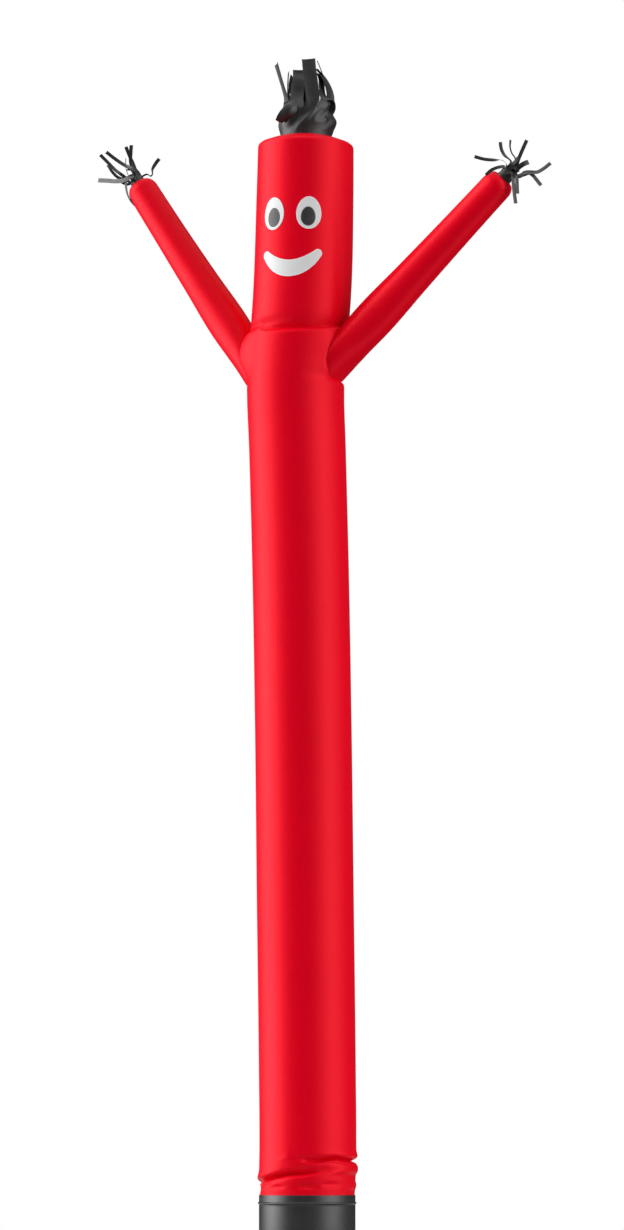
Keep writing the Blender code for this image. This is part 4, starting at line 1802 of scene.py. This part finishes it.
HAND_LEFT = (
    strip((-50, 28, 38, 10), (-64, 12, 44, 44), (-64, -15, 34, 50), (-59, -46, 25, 62),
          (-46, -78, 26, 72), (-22, -110, 30, 76)),
    strip((-28, 58, 18, 20), (-40, 74, 12, 30), (-60, 78, 6, 20)),
    strip((-12, 58, 5, 20), (-19, 72, -2, 10), (-28, 100, -8, 10), (-47, 143, -16, 5),
          (-68, 195, -20)),
    strip((-2, 60, 14, 30), (-16, 68, 34, 10), (-34, 78, 26), (-66, 95, 0), (-116, 131, -22),
          (-165, 171, -32)),
    strip((20, 49, -14, 60), (39, 56, -12, 78), (56, 45, -6, 78), (65, 54, -2, 76), (63, 72, 0, 60),
          (78, 104, 0, 10), (98, 131, 0)),
    strip((0, 52, -34, 30), (-12, 74, -44, 40), (-26, 100, -50, 40), (-36, 128, -52, 50)),
    strip((-14, 52, -30, 30), (-30, 76, -20, 20), (-40, 100, -10, 10), (-44, 125, -5),
          (-43, 157, 0), (-40, 199, 0)),
    strip((-36, 38, -40, 60), (-52, 50, -42, 76), (-64, 77, -46, 80), (-69, 103, -50, 82),
          (-69, 142, -54, 82)),
    strip((-44, 12, -30, 30), (-58, 7, -20, 20), (-74, 9, -8, 10), (-90, 16, 2, 20)),
    strip((-52, 20, -18, 10), (-77, 28, -4, 10), (-104, 37, 0, 14), (-130, 61, 0, 20),
          (-157, 99, 0, 44)),
    strip((-58, 26, 6), (-87, 45, 34), (-118, 72, 14), (-150, 107, -4), (-194, 153, -12)),
    strip((-34, 30, 78, 10), (-58, 20, 62, 4), (-80, 14, 42), (-107, 15, 18), (-154, 26, -26),
          (-206, 37, -72), width=1.25, cup=0.02),
)
HAND_RIGHT = (
    strip((52, 45, 0, 20), (62, 64, 12), (70, 88, 18), (84, 122, 20), (110, 181, 20)),
    strip((48, 66, -18, 30), (60, 88, -20, 50), (56, 103, -20, 60), (41, 124, -20, 60),
          (32, 156, -20, 62), (34, 190, -20, 55)),
    strip((28, 62, -8, 30), (36, 82, -4, 50), (30, 90, 0, 55), (8, 108, 0, 30), (-10, 141, 0, 10),
          (-15, 176, 0, 10)),
    strip((14, 60, 0, 60), (12, 73, 4, 78), (-8, 86, 10, 86), (-49, 86, 16, 20), (-95, 90, 18, 5),
          (-139, 102, 20)),
    strip((2, 51, 34, 10), (-16, 48, 42), (-34, 43, 46), (-60, 31, 48), (-86, 8, 46)),
    strip((20, 48, 42, 20), (38, 60, 44, 10), (56, 76, 36, 10), (70, 96, 28)),
    strip((28, 36, 52, 20), (46, 46, 56), (62, 36, 52, 10), (66, 22, 44, 20)),
    strip((36, 16, 52, 20), (42, -8, 60, -27), (44, -40, 60, -27), (48, -80, 58, -27),
          (55, -130, 50, -27), width=1.15),
    strip((48, 18, 44, 20), (58, 6, 50, -24), (61, -15, 52, -27), (62, -45, 50, -27),
          (64, -82, 44, -27), width=1.15),
    strip((58, 4, 12, 30), (78, 12, 8, 20), (100, 21, 2), (122, 28, -4, -12), (138, 18, -8, -25),
          (158, -6, -8, -26), (178, -32, -8, -26), width=1.3),
    strip((62, -1, 24, 30), (76, 1, 38, 10), (96, 22, 32, 10), (125, 28, 16, 20), (158, 31, -4, 10),
          (191, 52, -24), (226, 83, -44), width=1.0),
    strip((58, 36, 2, 30), (74, 52, 22), (96, 66, 26), (118, 76, 18), width=1.35),
)


def hair_fringe(cap: HeadCap) -> Fringe:
    """The tuft in the head's vent.

    Args:
        cap: The cap with the vent.

    Returns:
        The fringe.
    """
    tube = cap.body.tube
    crown = tube.axis_at(tube.top.height)
    crown[2] = cap.height_at(cap.vent)
    rows = (
        PleatRow(-0.018, 0.1218, 0.0), PleatRow(0.004, 0.1218, 0.001),
        PleatRow(0.030, 0.1225, 0.006), PleatRow(0.075, 0.1240, 0.014),
        PleatRow(0.130, 0.1180, 0.012),
    )
    return Fringe(
        "hair_fringe", crown, np.array([0.0, 0.0, 1.0]), heading(VIEW_TURN),
        heading(VIEW_TURN + 90.0), rows, HAIR, phase=12.0, share_columns=14, sleeve_rows=48,
        seed=4.2, bulge=0.012,
    )


def hand_fringe(arm: ArmForm, tube: TubeForm) -> Fringe:
    """The tuft in one hand's vent.

    Args:
        arm: The arm with the hand.
        tube: The tube that the arm stands on.

    Returns:
        The fringe.
    """
    along, across, over = arm.directions()
    rows = (
        PleatRow(-0.012, 0.0367, 0.0), PleatRow(0.004, 0.0364, 0.0012),
        PleatRow(0.034, 0.0300, 0.0075),
    )
    streamers, seed = (HAND_LEFT, 1.7) if arm.side is Side.LEFT else (HAND_RIGHT, 8.3)
    return Fringe(
        "hand_fringe_" + arm.side.value, arm.root(tube) + along * arm.length, along, across, over,
        rows, streamers, phase=0.0, share_columns=4, sleeve_rows=12, seed=seed, stations=16,
        fold_long=0.040, fold_wide=0.013, cloth=0.0005, flat=(0.24, 0.20, 0.044),
    )


# ------------------------------------------------------------------------------- the collar

@dataclass
class Collar:
    """The base collar: a turned wall with a rolled bead that holds the tube's hem."""

    foot_x: float = -0.048
    foot_y: float = 0.001
    outer: float = 0.2285
    wall: float = 0.003
    height: float = 0.305
    bead_height: float = 0.267
    bead_radius: float = 0.0050
    fillet: float = 0.0012               # how softly the bead runs out into the wall
    rim: float = 0.0012                  # rounding of the wall's edges
    columns: int = 160

    def profile(self) -> list[tuple[float, float]]:
        """Lay out the wall's cross-section.

        Returns:
            Radius and height of its points, from the foot up its outside and down its inside.
        """
        outer, inner, top = self.outer, self.outer - self.wall, self.height
        rim, soft, root = self.rim, self.rim * 0.3, outer + self.fillet / 4
        low, high = self.bead_height - self.bead_radius, self.bead_height + self.bead_radius
        made = [(outer - rim, 0.0), (outer - soft, soft)]
        made += [(outer, height) for height in (rim, 0.06, 0.13, 0.20, 0.250)]
        made += [(outer, low - 2 * self.fillet), (root, low - self.fillet)]
        for degrees in range(-72, 73, 18):
            angle = math.radians(degrees)
            made.append((outer + self.bead_radius * math.cos(angle),
                         self.bead_height + self.bead_radius * math.sin(angle)))
        made += [(root, high + self.fillet), (outer, high + 2 * self.fillet), (outer, top - rim)]
        made += [(outer - soft, top - soft), (outer - rim, top), (inner + rim, top)]
        made += [(inner, height) for height in (top - rim, 0.20, 0.10, rim)]
        return made + [(inner + soft, 0.0)]

    def build(self) -> bpy.types.Object:
        """Turn the collar from a circle, extruded and drawn in or out row by row.

        Returns:
            The collar.
        """
        profile = self.profile()
        radius, height = profile[0]
        bpy.ops.object.select_all(action="DESELECT")
        bpy.ops.mesh.primitive_circle_add(
            vertices=self.columns, radius=radius, location=(self.foot_x, self.foot_y, height)
        )
        obj = bpy.context.active_object
        obj.name = obj.data.name = "base_collar_moulding"
        bpy.ops.object.mode_set(mode="EDIT")
        bpy.ops.mesh.select_all(action="SELECT")
        for next_radius, next_height in profile[1:] + profile[:1]:
            step = (0.0, 0.0, next_height - height)
            bpy.ops.mesh.extrude_edges_move(TRANSFORM_OT_translate={"value": step})
            share = next_radius / radius
            middle = (self.foot_x, self.foot_y, next_height)
            bpy.ops.transform.resize(value=(share, share, 1.0), center_override=middle)
            radius, height = next_radius, next_height
        bpy.ops.mesh.select_all(action="SELECT")
        bpy.ops.mesh.remove_doubles(threshold=0.00005)
        bpy.ops.mesh.normals_make_consistent(inside=False)
        bpy.ops.object.mode_set(mode="OBJECT")
        Workroom.choose(obj)
        bpy.ops.object.transform_apply(location=True, rotation=True, scale=True)
        bpy.ops.object.shade_smooth_by_angle(angle=SMOOTH_ANGLE)
        return obj

    def dress(self, obj: bpy.types.Object) -> None:
        """Give the collar its plastic.

        Args:
            obj: The collar.
        """
        finish = MouldedPlastic()
        material = finish.make(self.bead_height, self.bead_radius)
        Workroom.dress(obj, material, finish.slot, "base_collar")


# -------------------------------------------------------------------------------- the stage

@dataclass(frozen=True)
class SoftLight:
    """A tall soft light standing far off, brightest along its middle."""

    turn: float                          # from the side the figure is looked at from
    strength: float                      # how bright its middle is, 1 being white
    narrowness: float                    # how soon it falls off to its sides

    def shine(self, east: Wire, north: Wire) -> Wire:
        """Brightness of the light in a level direction.

        Args:
            east: The direction's share along x.
            north: The direction's share along y.

        Returns:
            The brightness.
        """
        middle = heading(VIEW_TURN + self.turn)
        facing = east * float(middle[0]) + north * float(middle[1])
        return facing.most(0.0) ** self.narrowness * self.strength


@dataclass
class Stage:
    """A pale floor, soft studio light from the sides and above, and the camera."""

    left_light: SoftLight = SoftLight(-90.0, 6.2, 9.5)
    right_light: SoftLight = SoftLight(62.0, 3.2, 8.5)
    overhead: float = 0.95               # how bright the light above is
    low_share: float = 0.33              # how bright the side lights still are below level
    all_round: float = 0.05
    # how far up a direction points, from -1 to 1, where each light begins and ends to change
    feet: tuple[float, float] = (-0.40, -0.10)      # of the side lights
    tops: tuple[float, float] = (0.60, 0.80)        # of the side lights
    edge: tuple[float, float] = (0.50, 0.90)        # of the light above
    floor_size: float = 4.0
    floor_corner: float = 0.8
    floor_greys: tuple[float, float] = (0.46, 0.49)
    camera_place: tuple[float, float, float] = (8.9636, -22.2429, 0.6000)
    camera_climb: float = 5.867
    lens: float = 147.34
    sensor: float = 36.0
    far_end: float = 200.0

    def floor(self) -> None:
        """A pale floor with softly rounded corners."""
        bpy.ops.object.select_all(action="DESELECT")
        bpy.ops.mesh.primitive_plane_add(size=self.floor_size, location=(0.0, 0.0, 0.0))
        floor = bpy.context.active_object
        floor.name = "floor"
        bpy.ops.object.mode_set(mode="EDIT")
        bpy.ops.mesh.select_all(action="SELECT")
        bpy.ops.mesh.bevel(offset=self.floor_corner, segments=12, affect="VERTICES")
        bpy.ops.object.mode_set(mode="OBJECT")
        recipe = Recipe("pale_floor")
        recipe.fixed(Roughness=0.8, Specular_IOR_Level=0.2)
        grain = recipe.cloud(recipe.place(), 5.0, 4.0)
        dark, pale = (paint((grey, grey, grey)) for grey in self.floor_greys)
        recipe.feed("Base Color", recipe.blend(grain, dark, pale))
        floor.data.materials.append(recipe.material)
        floor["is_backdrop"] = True

    def sky(self) -> None:
        """The soft lights, round a figure that stands before a white backdrop."""
        world = bpy.data.worlds.new("studio")
        world.use_nodes = True
        bpy.context.scene.world = world
        sky = Bench(world.node_tree)
        x, y, z = sky.parts(sky.node("ShaderNodeTexCoord", output="Generated"))
        level = (x * x + y * y + 1e-6) ** 0.5
        east, north = x / level, y / level
        sides = self.left_light.shine(east, north) + self.right_light.shine(east, north)
        sides = sides * sky.rise(z, *self.feet, self.low_share) * sky.fall(z, *self.tops)
        glow = sides + sky.rise(z, *self.edge, 0.0, self.overhead) + self.all_round
        seen = sky.node("ShaderNodeLightPath", output="Is Camera Ray")
        backdrop = world.node_tree.nodes["Background"]
        shown = seen.most(glow * (1.0 - seen))
        sky.tree.links.new(shown.socket, backdrop.inputs["Color"])

    def camera(self) -> None:
        """The camera, low in front and to the right, looking a little up."""
        data = bpy.data.cameras.new("camera")
        data.lens = self.lens
        data.sensor_fit = "VERTICAL"
        data.sensor_width = data.sensor_height = self.sensor
        data.clip_end = self.far_end
        camera = bpy.data.objects.new("camera", data)
        camera.location = self.camera_place
        climb = math.radians(90.0 + self.camera_climb)
        camera.rotation_euler = (climb, 0.0, math.radians(VIEW_TURN))
        bpy.context.scene.collection.objects.link(camera)
        bpy.context.scene.camera = camera

    def build(self) -> None:
        """Set the stage."""
        view = bpy.context.scene.view_settings
        view.view_transform = "Standard"
        view.look = "None"
        self.floor()
        self.sky()
        self.camera()


# ------------------------------------------------------------------------------------ main

def corners() -> list[list[float]]:
    """Lowest and highest corners of everything on show, as plain numbers."""
    return [[float(part) for part in corner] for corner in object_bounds()]


def main() -> None:
    """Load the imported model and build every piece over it."""
    logging.basicConfig(level=logging.INFO, format="%(name)s %(message)s")
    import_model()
    tube = TubeForm()
    body = TubeBody(tube)
    cap = HeadCap(body)
    collar = Collar()
    for piece in (collar, body, cap, *(Arm(form, tube) for form in ARMS)):
        piece.dress(piece.build())
    Face(tube).build()
    hair = hair_fringe(cap)
    hair.dress(hair.build(), "head_cap_cloth")
    for form in ARMS:
        tuft = hand_fringe(form, tube)
        tuft.dress(tuft.build(), f"arm_{form.side.value}_cloth")
    Stage().build()


if __name__ == "__main__":
    main()
